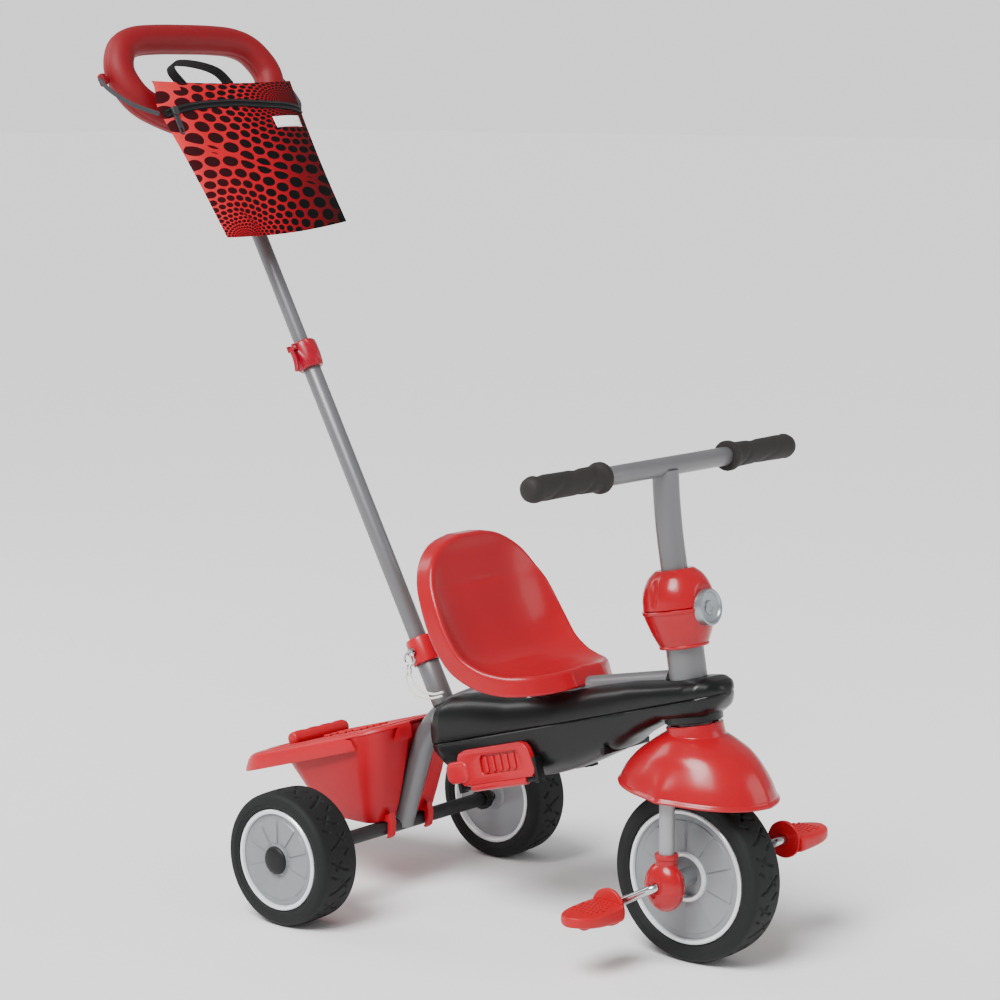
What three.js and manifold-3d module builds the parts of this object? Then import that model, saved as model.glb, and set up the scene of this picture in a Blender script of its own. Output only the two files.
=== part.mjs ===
// Children's tricycle with a telescopic push pole.
// Millimetres, +X forward, +Y to the rider's left, +Z up, standing on Z = 0.
import * as THREE from 'three';
import { mergeVertices } from 'three/addons/utils/BufferGeometryUtils.js';
import Module from 'manifold-3d';

const wasm = await Module();
wasm.setup();

// ---- driving dimensions -------------------------------------------------
const gap = 0.3;                    // clearance between touching pieces
const centreShift = 81.35;          // rear axle to the middle of the length
const wheelBase = 458;
const front = { radius: 101.5, half: 27, rim: 79, ring: 28.5 };
const rear = { radius: 82, half: 30, rim: 61.5, ring: 17.5, plane: 198.5 };
const steer = { x: 441.9, z: 335.1, lean: THREE.MathUtils.degToRad(10) };
const headTube = { outer: 22, inner: 19.6, low: -53, high: 34, flange: 24 };
const stem = { outer: 15.5, inner: 13.4, steerer: 13 };
const bar = { x: 407, z: 571, radius: 11.1, half: 242 };
const grip = { inner: 118, end: 247, radius: 15, flange: 18 };
const fork = { legY: 60, legRadius: 9, crownZ: 229, legEnd: 112, bend: 38 };
const crank = { rod: 5, armY: 86, end: 158, radius: 61.5, tilt: THREE.MathUtils.degToRad(28) };
const spine = { radius: 14 };
const cover = { half: 47, wall: 3, partingX: 93, partingZ: 205, partingSlope: 0.2864 };
const axle = { rod: 5, tube: 9, tubeHalf: 150, rodHalf: 224 };
const pole = { x: 41, z: 298, lean: THREE.MathUtils.degToRad(28.787) };
const lowerPole = { outer: 11, inner: 9.8, from: -24, to: 428 };
const upperPole = { outer: 9.5, inner: 8, from: 240, to: 742 };
const handle = { tube: 19.2, top: 869, bottom: 744 };
const bag = {
  backLow: 40, backHigh: 21, depth: 22, low: 576, high: 792, halfLow: 111, halfHigh: 133, droop: 13,
};
const footrest = {
  x: 204, z: 180, slope: THREE.MathUtils.degToRad(15.6), y: 47.6, pinY: 52.8, pinZ: -4.6, pinRadius: 2.6,
};
const lid = { z: 212, slope: 0.295, skirt: 22, wall: 3 };

// ---- colours and finishes -----------------------------------------------
const finishes = {
  redGloss: { color: 0xb2272c, roughness: 0.3, metalness: 0 },
  redSoft: { color: 0x9d1b25, roughness: 0.6, metalness: 0 },
  redBucket: { color: 0xc93238, roughness: 0.45, metalness: 0 },
  redLatch: { color: 0xcc1c31, roughness: 0.4, metalness: 0 },
  blackPlastic: { color: 0x26292b, roughness: 0.5, metalness: 0 },
  rubber: { color: 0x2c2f30, roughness: 0.85, metalness: 0 },
  gripRubber: { color: 0x3e3a39, roughness: 0.8, metalness: 0 },
  greyPlastic: { color: 0x9a9a9a, roughness: 0.45, metalness: 0 },
  silverPaint: { color: 0x878789, roughness: 0.4, metalness: 0.5 },
  darkPaint: { color: 0x414141, roughness: 0.5, metalness: 0.3 },
  steel: { color: 0xbfc2c4, roughness: 0.25, metalness: 1 },
  fabric: { color: 0x8c1d24, roughness: 0.9, metalness: 0 },
  webbing: { color: 0x1c1c1c, roughness: 0.9, metalness: 0 },
  whiteCord: { color: 0xe8e8e4, roughness: 0.8, metalness: 0 },
};
const materials = Object.fromEntries(
  Object.entries(finishes).map(([name, look]) => [name, new THREE.MeshStandardMaterial(look)]),
);

// ---- solid helpers -------------------------------------------------------
const v = (x, y, z) => new THREE.Vector3(x, y, z);

function solid(geometry) {
  const bare = geometry.clone();
  bare.deleteAttribute('normal');
  bare.deleteAttribute('uv');
  const merged = mergeVertices(bare, 1e-3);
  const index = merged.index.array;
  const triangles = [];
  for (let i = 0; i < index.length; i += 3) {
    const [a, b, c] = [index[i], index[i + 1], index[i + 2]];
    if (a !== b && b !== c && a !== c) triangles.push(a, b, c);
  }
  const build = (order) => new wasm.Manifold(new wasm.Mesh({
    numProp: 3,
    vertProperties: new Float32Array(merged.attributes.position.array),
    triVerts: new Uint32Array(order),
  }));
  const result = build(triangles);
  if (result.volume() > 0) return result;
  return build(triangles.slice().reverse());
}

function toGeometry(body) {
  const mesh = body.getMesh();
  const geometry = new THREE.BufferGeometry();
  geometry.setAttribute('position', new THREE.BufferAttribute(new Float32Array(mesh.vertProperties), 3));
  geometry.setIndex(new THREE.BufferAttribute(new Uint32Array(mesh.triVerts), 1));
  geometry.computeVertexNormals();
  return geometry;
}

function ringPoints(radius, sides, flatten = 1) {
  const points = [];
  for (let i = 0; i < sides; i += 1) {
    const angle = ((i + 0.5) / sides) * 2 * Math.PI;
    points.push(new THREE.Vector2(radius * Math.cos(angle), radius * flatten * Math.sin(angle)));
  }
  return points;
}

function disc(radius, sides, inner = 0) {
  const shape = new THREE.Shape(ringPoints(radius, sides));
  if (inner > 0) shape.holes.push(new THREE.Path(ringPoints(inner, sides)));
  return shape;
}

// A path of straight runs joined by rounded corners.
function bentPath(corners, radius) {
  const path = new THREE.CurvePath();
  let from = corners[0];
  for (let i = 1; i < corners.length - 1; i += 1) {
    const corner = corners[i];
    const before = corners[i - 1].clone().sub(corner).setLength(radius).add(corner);
    const after = corners[i + 1].clone().sub(corner).setLength(radius).add(corner);
    if (from.distanceTo(before) > 0.01) path.add(new THREE.LineCurve3(from, before));
    path.add(new THREE.QuadraticBezierCurve3(before, corner, after));
    from = after;
  }
  path.add(new THREE.LineCurve3(from, corners[corners.length - 1]));
  return path;
}

function sweep(shape, path, steps) {
  return solid(new THREE.ExtrudeGeometry(shape, { steps, bevelEnabled: false, extrudePath: path }));
}

function rod(from, to, radius, sides = 16, inner = 0) {
  return sweep(disc(radius, sides, inner), new THREE.LineCurve3(from, to), 1);
}

// Extrudes an outline drawn in X-Z along Y, between two Y values.
function slabY(points, low, high) {
  const shape = new THREE.Shape(points.map(([x, z]) => new THREE.Vector2(x, z)));
  const geometry = new THREE.ExtrudeGeometry(shape, { depth: high - low, steps: 1, bevelEnabled: false });
  geometry.rotateX(Math.PI / 2);
  geometry.translate(0, high, 0);
  return solid(geometry);
}

// Extrudes an outline drawn in X-Y along Z, between two Z values.
function slabZ(points, low, high) {
  const shape = new THREE.Shape(points.map(([x, y]) => new THREE.Vector2(x, y)));
  const geometry = new THREE.ExtrudeGeometry(shape, { depth: high - low, steps: 1, bevelEnabled: false });
  geometry.translate(0, 0, low);
  return solid(geometry);
}

function block(lowCorner, highCorner) {
  const size = highCorner.clone().sub(lowCorner);
  const geometry = new THREE.BoxGeometry(size.x, size.y, size.z);
  geometry.translate((lowCorner.x + highCorner.x) / 2, (lowCorner.y + highCorner.y) / 2,
    (lowCorner.z + highCorner.z) / 2);
  return solid(geometry);
}

// Turns a profile of [radius, height] points about the Y axis.
function turned(profile, segments = 32) {
  const points = profile.map(([radius, height]) => new THREE.Vector2(radius, height));
  const onAxis = profile[0][0] === 0 && profile[profile.length - 1][0] === 0;
  if (!onAxis) points.push(points[0].clone());
  return solid(new THREE.LatheGeometry(points, segments, Math.PI / segments));
}

// The same, about the Z axis.
function turnedZ(profile, segments = 24) {
  return turned(profile, segments).rotate([90, 0, 0]);
}

// Joins rings of points into one closed skin; an open row of rings gets flat ends.
function loft(rings, closed = false) {
  const count = rings[0].length;
  const positions = rings.flat().flatMap((p) => [p.x, p.y, p.z]);
  const index = [];
  const last = closed ? rings.length : rings.length - 1;
  for (let r = 0; r < last; r += 1) {
    const next = (r + 1) % rings.length;
    for (let i = 0; i < count; i += 1) {
      const j = (i + 1) % count;
      index.push(r * count + i, r * count + j, next * count + j);
      index.push(r * count + i, next * count + j, next * count + i);
    }
  }
  if (!closed) {
    const centre = (ring) => ring.reduce((sum, p) => sum.add(p), v(0, 0, 0)).divideScalar(count);
    const startCentre = centre(rings[0].map((p) => p.clone()));
    const endCentre = centre(rings[rings.length - 1].map((p) => p.clone()));
    const start = positions.length / 3;
    positions.push(...startCentre.toArray(), ...endCentre.toArray());
    const base = (rings.length - 1) * count;
    for (let i = 0; i < count; i += 1) {
      const j = (i + 1) % count;
      index.push(start, j, i);
      index.push(start + 1, base + i, base + j);
    }
  }
  const geometry = new THREE.BufferGeometry();
  geometry.setAttribute('position', new THREE.BufferAttribute(new Float32Array(positions), 3));
  geometry.setIndex(index);
  return solid(geometry);
}

function meshOf(name, body, finish) {
  const mesh = new THREE.Mesh(toGeometry(body), materials[finish]);
  mesh.name = name;
  return mesh;
}

// ---- groups --------------------------------------------------------------
const tricycle = new THREE.Group();
tricycle.position.x = -centreShift;
const steeringGroup = new THREE.Group();      // local +Z runs up the steering axis
steeringGroup.position.set(steer.x, 0, steer.z);
steeringGroup.rotation.y = -steer.lean;
const poleGroup = new THREE.Group();          // local +Z runs up the push pole
poleGroup.position.set(pole.x, 0, pole.z);
poleGroup.rotation.y = -pole.lean;
tricycle.add(steeringGroup, poleGroup);

function onSteeringAxis(distance) {
  return v(steer.x - Math.sin(steer.lean) * distance, 0, steer.z + Math.cos(steer.lean) * distance);
}

function onPole(distance) {
  return v(pole.x - Math.sin(pole.lean) * distance, 0, pole.z + Math.cos(pole.lean) * distance);
}

// ---- wheels --------------------------------------------------------------
function tyre(size, segments) {
  const tread = size.radius / Math.cos(Math.PI / segments);
  const bead = size.rim + gap + 0.4;
  const half = size.half;
  const side = [
    [bead, half - 3], [bead + 4, half - 0.5], [tread - 11, half],
    [tread - 4, half - 3], [tread, half * 0.6],
  ];
  const lower = side.map(([radius, height]) => [radius, -height]);
  return turned([...lower, ...side.reverse()], segments);
}

// One moulded half of a wheel; its outer face looks along -Y.
function rimHalf(size, hubOut, segments) {
  const bore = axle.rod + 0.4;
  const web = size.half - 5;
  const wall = 3.5;
  const hub = 10;
  return turned([
    [bore, -hubOut], [hub, -hubOut], [hub + 1, -web], [size.ring - 4, -web],
    [size.ring - 3, -size.half + 1], [size.ring, -size.half + 1], [size.ring + 1, -web],
    [size.rim - 12, -web], [size.rim - 6, -size.half + 4], [size.rim, -size.half + 1],
    [size.rim, -gap], [size.rim - wall, -gap], [size.rim - wall - 4, -web + wall],
    [hub + 4, -web + wall], [hub + 4, -gap], [bore, -gap],
  ], segments);
}

// A one-piece rear rim: closed face outward, open dish inward.
function rearRim(hubOuter, hubInner, segments) {
  const bore = axle.rod + 0.4;
  const web = rear.half - 5;
  return turned([
    [bore, -hubOuter], [10, -hubOuter], [11, -web], [rear.ring - 4, -web],
    [rear.ring - 3, -rear.half + 1], [rear.ring, -rear.half + 1], [rear.ring + 1, -web],
    [rear.rim - 12, -web], [rear.rim - 6, -rear.half + 4], [rear.rim, -rear.half + 1],
    [rear.rim, rear.half - 2], [rear.rim - 3.5, rear.half - 2], [rear.rim - 7.5, -web + 3.5],
    [13.5, -web + 3.5], [13.5, hubInner], [bore, hubInner],
  ], segments);
}

function addWheelPiece(name, body, finish, turnedOver, x, y, z) {
  const mesh = meshOf(name, body, finish);
  mesh.rotation.z = turnedOver ? Math.PI : 0;
  mesh.position.set(x, y, z);
  tricycle.add(mesh);
}

function wheels() {
  const height = front.radius;
  addWheelPiece('front_tyre', tyre(front, 32), 'rubber', false, wheelBase, 0, height);
  addWheelPiece('front_rim_right', rimHalf(front, 38, 32), 'greyPlastic', false, wheelBase, 0, height);
  addWheelPiece('front_rim_left', rimHalf(front, 38, 32), 'greyPlastic', true, wheelBase, 0, height);
  for (const [side, sign] of [['right', -1], ['left', 1]]) {
    const y = sign * rear.plane;
    addWheelPiece(`rear_tyre_${side}`, tyre(rear, 28), 'rubber', sign > 0, 0, y, rear.radius);
    addWheelPiece(`rear_rim_${side}`, rearRim(24, 28, 28), 'greyPlastic', sign > 0, 0, y, rear.radius);
  }
}
wheels();

// ---- rear axle -----------------------------------------------------------
function rearAxle() {
  const z = rear.radius;
  const tube = rod(v(0, -axle.tubeHalf, z), v(0, axle.tubeHalf, z), axle.tube, 16, axle.rod + 0.4);
  const through = rod(v(0, -axle.rodHalf, z), v(0, axle.rodHalf, z), axle.rod, 12);
  tricycle.add(meshOf('rear_axle_tube', tube, 'darkPaint'), meshOf('rear_axle_rod', through, 'steel'));
  for (const [side, sign] of [['right', -1], ['left', 1]]) {
    const bush = meshOf(`axle_bush_${side}`, turned([
      [axle.rod + 0.4, -8], [13.5, -8], [13.5, 2], [11, 7.5], [axle.rod + 0.4, 7.5],
    ], 20), 'blackPlastic');
    bush.position.set(0, sign * (axle.tubeHalf + 8.5), z);
    bush.rotation.z = sign < 0 ? Math.PI : 0;
    const cap = meshOf(`hub_cap_${side}`, turned([
      [0, -33.8], [12, -33.4], [16, -32], [17.2, -30.2], [17.2, -29.3], [13.2, -29.3],
      [13.2, -25.5], [axle.rod + 0.7, -25.5],
      [axle.rod + 0.7, -27], [0, -27],
    ], 20), 'blackPlastic');
    cap.position.set(0, sign * rear.plane, z);
    cap.rotation.z = sign < 0 ? 0 : Math.PI;
    tricycle.add(bush, cap);
  }
}
rearAxle();

// ---- frame ---------------------------------------------------------------
function spinePath() {
  return bentPath([v(421, 0, 322), v(118, 0, 262), v(46, 0, 221), v(0, 0, rear.radius)], 42);
}

function mainFrame() {
  const tube = sweep(disc(spine.radius, 16), spinePath(), 22);
  const socket = rod(onPole(-60), onPole(0), 14.2, 16);
  const bore = rod(onPole(lowerPole.from - 0.5), onPole(6), lowerPole.outer + gap, 16);
  const headClearance = rod(onSteeringAxis(-80), onSteeringAxis(60), headTube.outer + gap, 24);
  const axleClearance = rod(v(0, -40, rear.radius), v(0, 40, rear.radius), axle.tube + gap, 16);
  return tube.add(socket).subtract(bore).subtract(headClearance).subtract(axleClearance);
}
tricycle.add(meshOf('main_frame', mainFrame(), 'silverPaint'));

function headParts() {
  const { outer, inner, low, high } = headTube;
  const tube = turnedZ([[inner, low], [outer, low], [outer, high], [inner, high]]);
  const bushing = [
    [stem.steerer + gap, 0], [headTube.flange, 0], [headTube.flange, 3], [inner - gap, 3],
    [inner - gap, 16], [stem.steerer + gap, 16],
  ];
  const lower = turnedZ(bushing).translate([0, 0, low - 3 - gap]);
  const upper = turnedZ(bushing).rotate([180, 0, 0]).translate([0, 0, high + 3 + gap]);
  steeringGroup.add(
    meshOf('head_tube', tube, 'silverPaint'),
    meshOf('head_bushing_lower', lower, 'blackPlastic'),
    meshOf('head_bushing_upper', upper, 'blackPlastic'),
  );
}
headParts();

// ---- body covers ---------------------------------------------------------
// Side outline of the covers, [x, z], drawn at a distance inside the outer skin.
function coverOutline(inset) {
  const top = [[79, 242], [93, 259], [137, 271], [197, 277], [282, 294], [326, 306], [429, 327], [478, 336]];
  const nose = [[494, 325], [484, 303], [470, 288]];
  const bottom = [[426, 280], [376, 252], [359, 237], [299, 204], [263, 191], [190, 172], [112, 170]];
  const tail = [[88, 188], [78, 216]];
  const outline = [...top, ...nose, ...bottom, ...tail];
  return outline.map(([x, z], i) => {
    const before = outline[(i + outline.length - 1) % outline.length];
    const after = outline[(i + 1) % outline.length];
    const along = new THREE.Vector2(after[0] - before[0], after[1] - before[1]).normalize();
    return [x + along.y * inset, z - along.x * inset];
  }).reverse();
}

// Plan outline of the covers, [x, y]: round at the rear, tapering to a round nose.
function coverPlan(inset) {
  const points = [];
  const noseHalf = 40 - inset;
  const tailHalf = cover.half - inset;
  for (let i = 0; i <= 10; i += 1) {
    const angle = -Math.PI / 2 + (i / 10) * Math.PI;
    points.push([444 + noseHalf * 1.2 * Math.cos(angle), noseHalf * Math.sin(angle)]);
  }
  points.push([300, tailHalf]);
  for (let i = 0; i <= 8; i += 1) {
    const angle = Math.PI / 2 + (i / 8) * Math.PI;
    points.push([100 + (24 - inset) * Math.cos(angle), tailHalf * Math.sin(angle)]);
  }
  points.push([300, -tailHalf]);
  return points;
}

function coverBody(inset) {
  return slabY(coverOutline(inset), -80, 80).intersect(slabZ(coverPlan(inset), 100, 420));
}

// Everything above (sign 1) or below (sign -1) the parting line.
function partingSide(sign) {
  const { partingX, partingZ, partingSlope } = cover;
  const at = (x) => partingZ + (x - partingX) * partingSlope + sign * gap / 2;
  const far = sign * 400;
  const outline = [[0, at(0)], [700, at(700)], [700, at(700) + far], [0, at(0) + far]];
  return slabY(sign > 0 ? outline : outline.reverse(), -100, 100);
}

// Drilled lugs on the lower cover that carry the footrest pins.
function footrestLugs() {
  const lugs = [];
  for (const sign of [-1, 1]) {
    for (const x of [-64.5, 59.5]) {
      const { pinY, pinZ, pinRadius } = footrest;
      const arm = block(v(x, 44.5, pinZ - 4.4), v(x + 5, pinY + 4.4, pinZ + 3.1))
        .add(block(v(x, 44.5, pinZ - 4.4), v(x + 5, 47, 24)))
        .subtract(rod(v(x - 5, pinY, pinZ), v(x + 10, pinY, pinZ), pinRadius + gap, 12));
      const placed = arm.rotate([0, -THREE.MathUtils.radToDeg(footrest.slope), 0])
        .translate([footrest.x, 0, footrest.z]);
      lugs.push(sign > 0 ? placed : placed.mirror([0, 1, 0]));
    }
  }
  return lugs;
}

function covers() {
  const tubeRoom = sweep(disc(spine.radius + 0.7, 16), spinePath(), 22);
  const tubeSlot = block(v(110, -12, 262), v(430, 12, 400));
  const headRoom = rod(onSteeringAxis(-90), onSteeringAxis(60), headTube.outer + 0.6, 24);
  const shell = coverBody(0).subtract(coverBody(cover.wall)).subtract(tubeRoom).subtract(tubeSlot)
    .subtract(headRoom);
  const rearOpening = block(v(40, -16, 150), v(110, 16, 262));
  const bracketRoom = block(v(218, -29, 264), v(248, 29, 400));
  const collar = turnedZ([[25, -55], [33, -55], [34, -36], [25, -36]], 24)
    .rotate([0, -THREE.MathUtils.radToDeg(steer.lean), 0]).translate([steer.x, 0, steer.z]);
  const collarRoom = rod(onSteeringAxis(-70), onSteeringAxis(-36), 25, 24);
  const upper = shell.intersect(partingSide(1)).subtract(rearOpening).subtract(bracketRoom);
  let lower = shell.intersect(partingSide(-1)).subtract(rearOpening).subtract(collarRoom).add(collar);
  for (const lug of footrestLugs()) lower = lower.add(lug);
  tricycle.add(meshOf('upper_cover', upper, 'blackPlastic'), meshOf('lower_cover', lower, 'blackPlastic'));
}
covers();

// ---- seat ----------------------------------------------------------------
// Rows from the top of the back to the front lip: [x, z, half width, wrap].
const seatRows = [
  [117, 463, 22, 0], [118, 458, 48, 0], [120, 448, 70, 1], [124, 433, 87, 4], [130, 413, 99, 8],
  [138, 392, 107, 12], [148, 368, 111, 15], [161, 344, 112, 17], [180, 323, 110, 16], [208, 312, 104, 12],
  [236, 311, 95, 8], [256, 314, 84, 5], [270, 317, 70, 3], [281, 320, 52, 1], [289, 323, 31, 0],
];

function seatShell() {
  const thickness = 4;
  const across = 12;
  const rows = seatRows.map(([x, z, half, wrap], i) => {
    const a = seatRows[Math.max(i - 1, 0)];
    const b = seatRows[Math.min(i + 1, seatRows.length - 1)];
    const along = v(b[0] - a[0], 0, b[1] - a[1]).normalize();
    const normal = v(-along.z, 0, along.x);
    const ring = [];
    for (let j = 0; j <= across; j += 1) {
      const t = (j / across) * 2 - 1;
      const rise = wrap * t ** 4;
      ring.push(v(x + normal.x * rise, half * t, z + normal.z * rise));
    }
    for (let j = across; j >= 0; j -= 1) {
      const t = (j / across) * 2 - 1;
      const rise = wrap * t ** 4 - thickness;
      ring.push(v(x + normal.x * rise, (half - 1) * t, z + normal.z * rise));
    }
    return ring;
  });
  return loft(rows);
}
tricycle.add(meshOf('seat_shell', seatShell(), 'redGloss'));

function seatFixing() {
  const middle = 233;
  const tubeZ = (x) => 322 + (x - 421) * (60 / 303);
  const from = v(middle - 12, 0, tubeZ(middle - 12));
  const to = v(middle + 12, 0, tubeZ(middle + 12));
  const tubeRoom = rod(v(middle - 40, 0, tubeZ(middle - 40)), v(middle + 40, 0, tubeZ(middle + 40)),
    spine.radius + 0.4, 20);
  let saddle = rod(from, to, spine.radius + 3, 20)
    .add(block(v(middle - 11, -27, 278.6), v(middle + 11, 27, 281.4)))
    .subtract(tubeRoom).intersect(block(v(middle - 30, -30, 278.6), v(middle + 30, 30, 330)));
  for (const [side, sign] of [['right', -1], ['left', 1]]) {
    const y = sign * 22.5;
    saddle = saddle.subtract(rod(v(middle, y, 270), v(middle, y, 290), 3.3, 12));
    const bolt = rod(v(middle, y, 275), v(middle, y, 303), 2.9, 10)
      .add(rod(v(middle, y, 274), v(middle, y, 278.2), 5, 6));
    tricycle.add(meshOf(`seat_bolt_${side}`, bolt, 'steel'));
  }
  tricycle.add(meshOf('seat_bracket', saddle, 'steel'));
}
seatFixing();

// ---- handlebar, stem and grips --------------------------------------------
function handlebar() {
  const top = v(bar.x, 0, bar.z);
  const column = sweep(disc(stem.outer, 16),
    bentPath([onSteeringAxis(42), onSteeringAxis(182), top], 34), 12);
  const room = rod(onSteeringAxis(30), onSteeringAxis(80), stem.inner, 16);
  const cross = rod(v(bar.x, -bar.half, bar.z), v(bar.x, bar.half, bar.z), bar.radius, 16);
  return column.add(cross).subtract(room);
}
tricycle.add(meshOf('handlebar', handlebar(), 'silverPaint'));

for (const [side, sign] of [['right', -1], ['left', 1]]) {
  const bore = bar.radius + gap;
  const body = meshOf(`grip_${side}`, turned([
    [0, -grip.end], [8, -grip.end], [13, -grip.end + 3], [grip.radius, -grip.end + 9],
    [grip.radius, -grip.inner - 8], [grip.flange, -grip.inner - 5], [grip.flange, -grip.inner],
    [bore, -grip.inner], [bore, -bar.half - gap], [0, -bar.half - gap],
  ], 20), 'gripRubber');
  body.position.set(bar.x, 0, bar.z);
  body.rotation.z = sign < 0 ? 0 : Math.PI;
  tricycle.add(body);
}

// ---- steering hub cover and badge ------------------------------------------
function steeringKnob() {
  const badgeHeight = 74;
  const lower = turnedZ([
    [25.2, 31], [27.5, 31], [29, 34], [34.5, 47], [39.5, 62], [42, 71], [42, 76],
    [39, 76], [36, 62], [31, 48], [25.2, 39],
  ], 28);
  const upper = turnedZ([
    [38, 76.4], [41, 76.4], [41, 85], [38, 99], [31, 112], [23, 120], [16.2, 120.5],
    [16.2, 117], [27, 110], [35, 97], [38, 85],
  ], 28);
  const pocket = rod(v(36, 0, badgeHeight), v(60, 0, badgeHeight), 21.4, 24);
  const badge = rod(v(36.5, 0, badgeHeight), v(43.5, 0, badgeHeight), 21, 24)
    .add(rod(v(43, 0, badgeHeight), v(46, 0, badgeHeight), 21, 24, 18));
  steeringGroup.add(
    meshOf('knob_lower_shell', lower.subtract(pocket), 'redGloss'),
    meshOf('knob_upper_shell', upper.subtract(pocket), 'redGloss'),
    meshOf('knob_badge', badge, 'steel'),
  );
}
steeringKnob();

// ---- fork ------------------------------------------------------------------
function forkBody() {
  const { legY, legRadius, crownZ, legEnd, bend } = fork;
  const arch = sweep(disc(legRadius, 12), bentPath([
    v(wheelBase, -legY, legEnd), v(wheelBase, -legY, crownZ),
    v(wheelBase, legY, crownZ), v(wheelBase, legY, legEnd),
  ], bend), 24);
  const steerer = rod(onSteeringAxis(-118), onSteeringAxis(79), stem.steerer, 20);
  const race = rod(onSteeringAxis(-59.8), onSteeringAxis(-56.8), 20, 20);
  return arch.add(steerer).add(race);
}
tricycle.add(meshOf('fork', forkBody(), 'silverPaint'));

// ---- mudguard --------------------------------------------------------------
function mudguardSkin(rows) {
  return loft(rows.map(([z, long, wide]) => {
    const middle = z > 248 ? onSteeringAxis((z - steer.z) / Math.cos(steer.lean)).x : wheelBase;
    const tilt = THREE.MathUtils.smoothstep(252 - z, 0, 40) * 0.05;
    return ringPoints(1, 28).map((p) => {
      const x = long * p.x;
      return v(middle + x, wide * p.y, z - tilt * x);
    });
  }));
}

function mudguard() {
  const outer = mudguardSkin([
    [203, 98, 74.5], [209, 96.5, 73.5], [222, 90, 69], [236, 79, 62],
    [247, 67, 56], [256, 54, 48], [263, 42, 40], [269, 34, 34],
  ]);
  const inner = mudguardSkin([
    [196, 95.5, 72], [206, 94, 71], [219, 87.5, 66.5], [233, 76, 59.5],
    [244, 64, 53], [252.5, 51, 45], [259, 39, 37], [262, 31, 31],
  ]);
  const neck = turnedZ([[28, -74], [33.5, -74], [33.5, -58.2], [28, -58.2]])
    .rotate([0, -THREE.MathUtils.radToDeg(steer.lean), 0]).translate([steer.x, 0, steer.z]);
  const hole = rod(onSteeringAxis(-90), onSteeringAxis(-58), 14.5, 20);
  const well = rod(onSteeringAxis(-66), onSteeringAxis(-40), 28, 24);
  return outer.subtract(well).add(neck).subtract(inner).subtract(hole);
}
tricycle.add(meshOf('mudguard', mudguard(), 'redGloss'));

// ---- hub covers on the fork ends --------------------------------------------
function hubCover(sign) {
  const egg = new THREE.SphereGeometry(1, 18, 10);
  egg.scale(22.5, 15.5, 29.5);
  egg.translate(wheelBase, sign * 63.2, 99.5);
  const neck = rod(v(wheelBase, sign * fork.legY, 118), v(wheelBase, sign * fork.legY, 137), 12.5, 18);
  const legRoom = rod(v(wheelBase, sign * fork.legY, fork.legEnd - gap),
    v(wheelBase, sign * fork.legY, 150), fork.legRadius + gap, 16);
  const axleRoom = rod(v(wheelBase, sign * 40, front.radius), v(wheelBase, sign * 90, front.radius),
    crank.rod + 0.5, 14);
  return solid(egg).add(neck).subtract(legRoom).subtract(axleRoom);
}

const seamZ = 94;
for (const [side, sign] of [['right', -1], ['left', 1]]) {
  const whole = hubCover(sign);
  const above = block(v(400, -100, seamZ + gap / 2), v(520, 100, 200));
  const below = block(v(400, -100, 20), v(520, 100, seamZ - gap / 2));
  tricycle.add(
    meshOf(`hub_cover_upper_${side}`, whole.intersect(above), 'redGloss'),
    meshOf(`hub_cover_lower_${side}`, whole.intersect(below), 'redGloss'),
  );
}

// ---- crank and pedals --------------------------------------------------------
function pedalCentre(sign) {
  return v(wheelBase + sign * crank.radius * Math.cos(crank.tilt), 0,
    front.radius + sign * crank.radius * Math.sin(crank.tilt));
}

function crankAxle() {
  const right = pedalCentre(-1);
  const left = pedalCentre(1);
  const { rod: radius, armY, end } = crank;
  return sweep(disc(radius, 10), bentPath([
    v(right.x, -end, right.z), v(right.x, -armY, right.z), v(wheelBase, -armY, front.radius),
    v(wheelBase, armY, front.radius), v(left.x, armY, left.z), v(left.x, end, left.z),
  ], 9), 62);
}
tricycle.add(meshOf('crank_axle', crankAxle(), 'steel'));

function pedal() {
  const outline = [];
  for (let i = 0; i <= 12; i += 1) {
    const angle = Math.PI + (i / 12) * Math.PI;
    outline.push([25 * Math.cos(angle), -151 + 21 * Math.sin(angle)]);
  }
  outline.push([25, -99], [-25, -99]);
  const tread = slabZ(outline, -14, 8);
  const guard = rod(v(0, -100, 1), v(0, -96, 1), 22, 24);
  const bore = rod(v(0, -95, 0), v(0, -crank.end - 0.6, 0), crank.rod + 0.4, 14);
  return tread.add(guard).subtract(bore);
}

for (const [side, sign] of [['right', -1], ['left', 1]]) {
  const mesh = meshOf(`pedal_${side}`, pedal(), 'redBucket');
  mesh.position.copy(pedalCentre(sign));
  mesh.rotation.z = sign < 0 ? 0 : Math.PI;
  tricycle.add(mesh);
}

// ---- bucket and lid ----------------------------------------------------------
const lidTop = (x) => lid.z + lid.slope * x;

// Plan ring with round corners between two X values, at a height given per point.
function roundedRing(low, high, half, corner, heightAt, squeeze = 1) {
  const points = [];
  const corners = [
    [high - corner, half * squeeze - corner, 0], [low + corner, half - corner, 1],
    [low + corner, -half + corner, 2], [high - corner, -half * squeeze + corner, 3],
  ];
  for (const [x, y, quarter] of corners) {
    for (let i = 0; i <= 4; i += 1) {
      const angle = (quarter + i / 4) * (Math.PI / 2);
      const px = x + corner * Math.cos(angle);
      points.push(v(px, y + corner * Math.sin(angle), heightAt(px)));
    }
  }
  return points;
}

// The space kept free for the frame's rear leg, at a distance round the tube.
function legRoom(room) {
  const lean = Math.atan2(46, 221 - rear.radius);
  const width = spine.radius + room;
  const local = block(v(-width, -width, -30), v(140, width, 240));
  return local.rotate([0, THREE.MathUtils.radToDeg(lean), 0]).translate([0, 0, rear.radius]);
}

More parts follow.
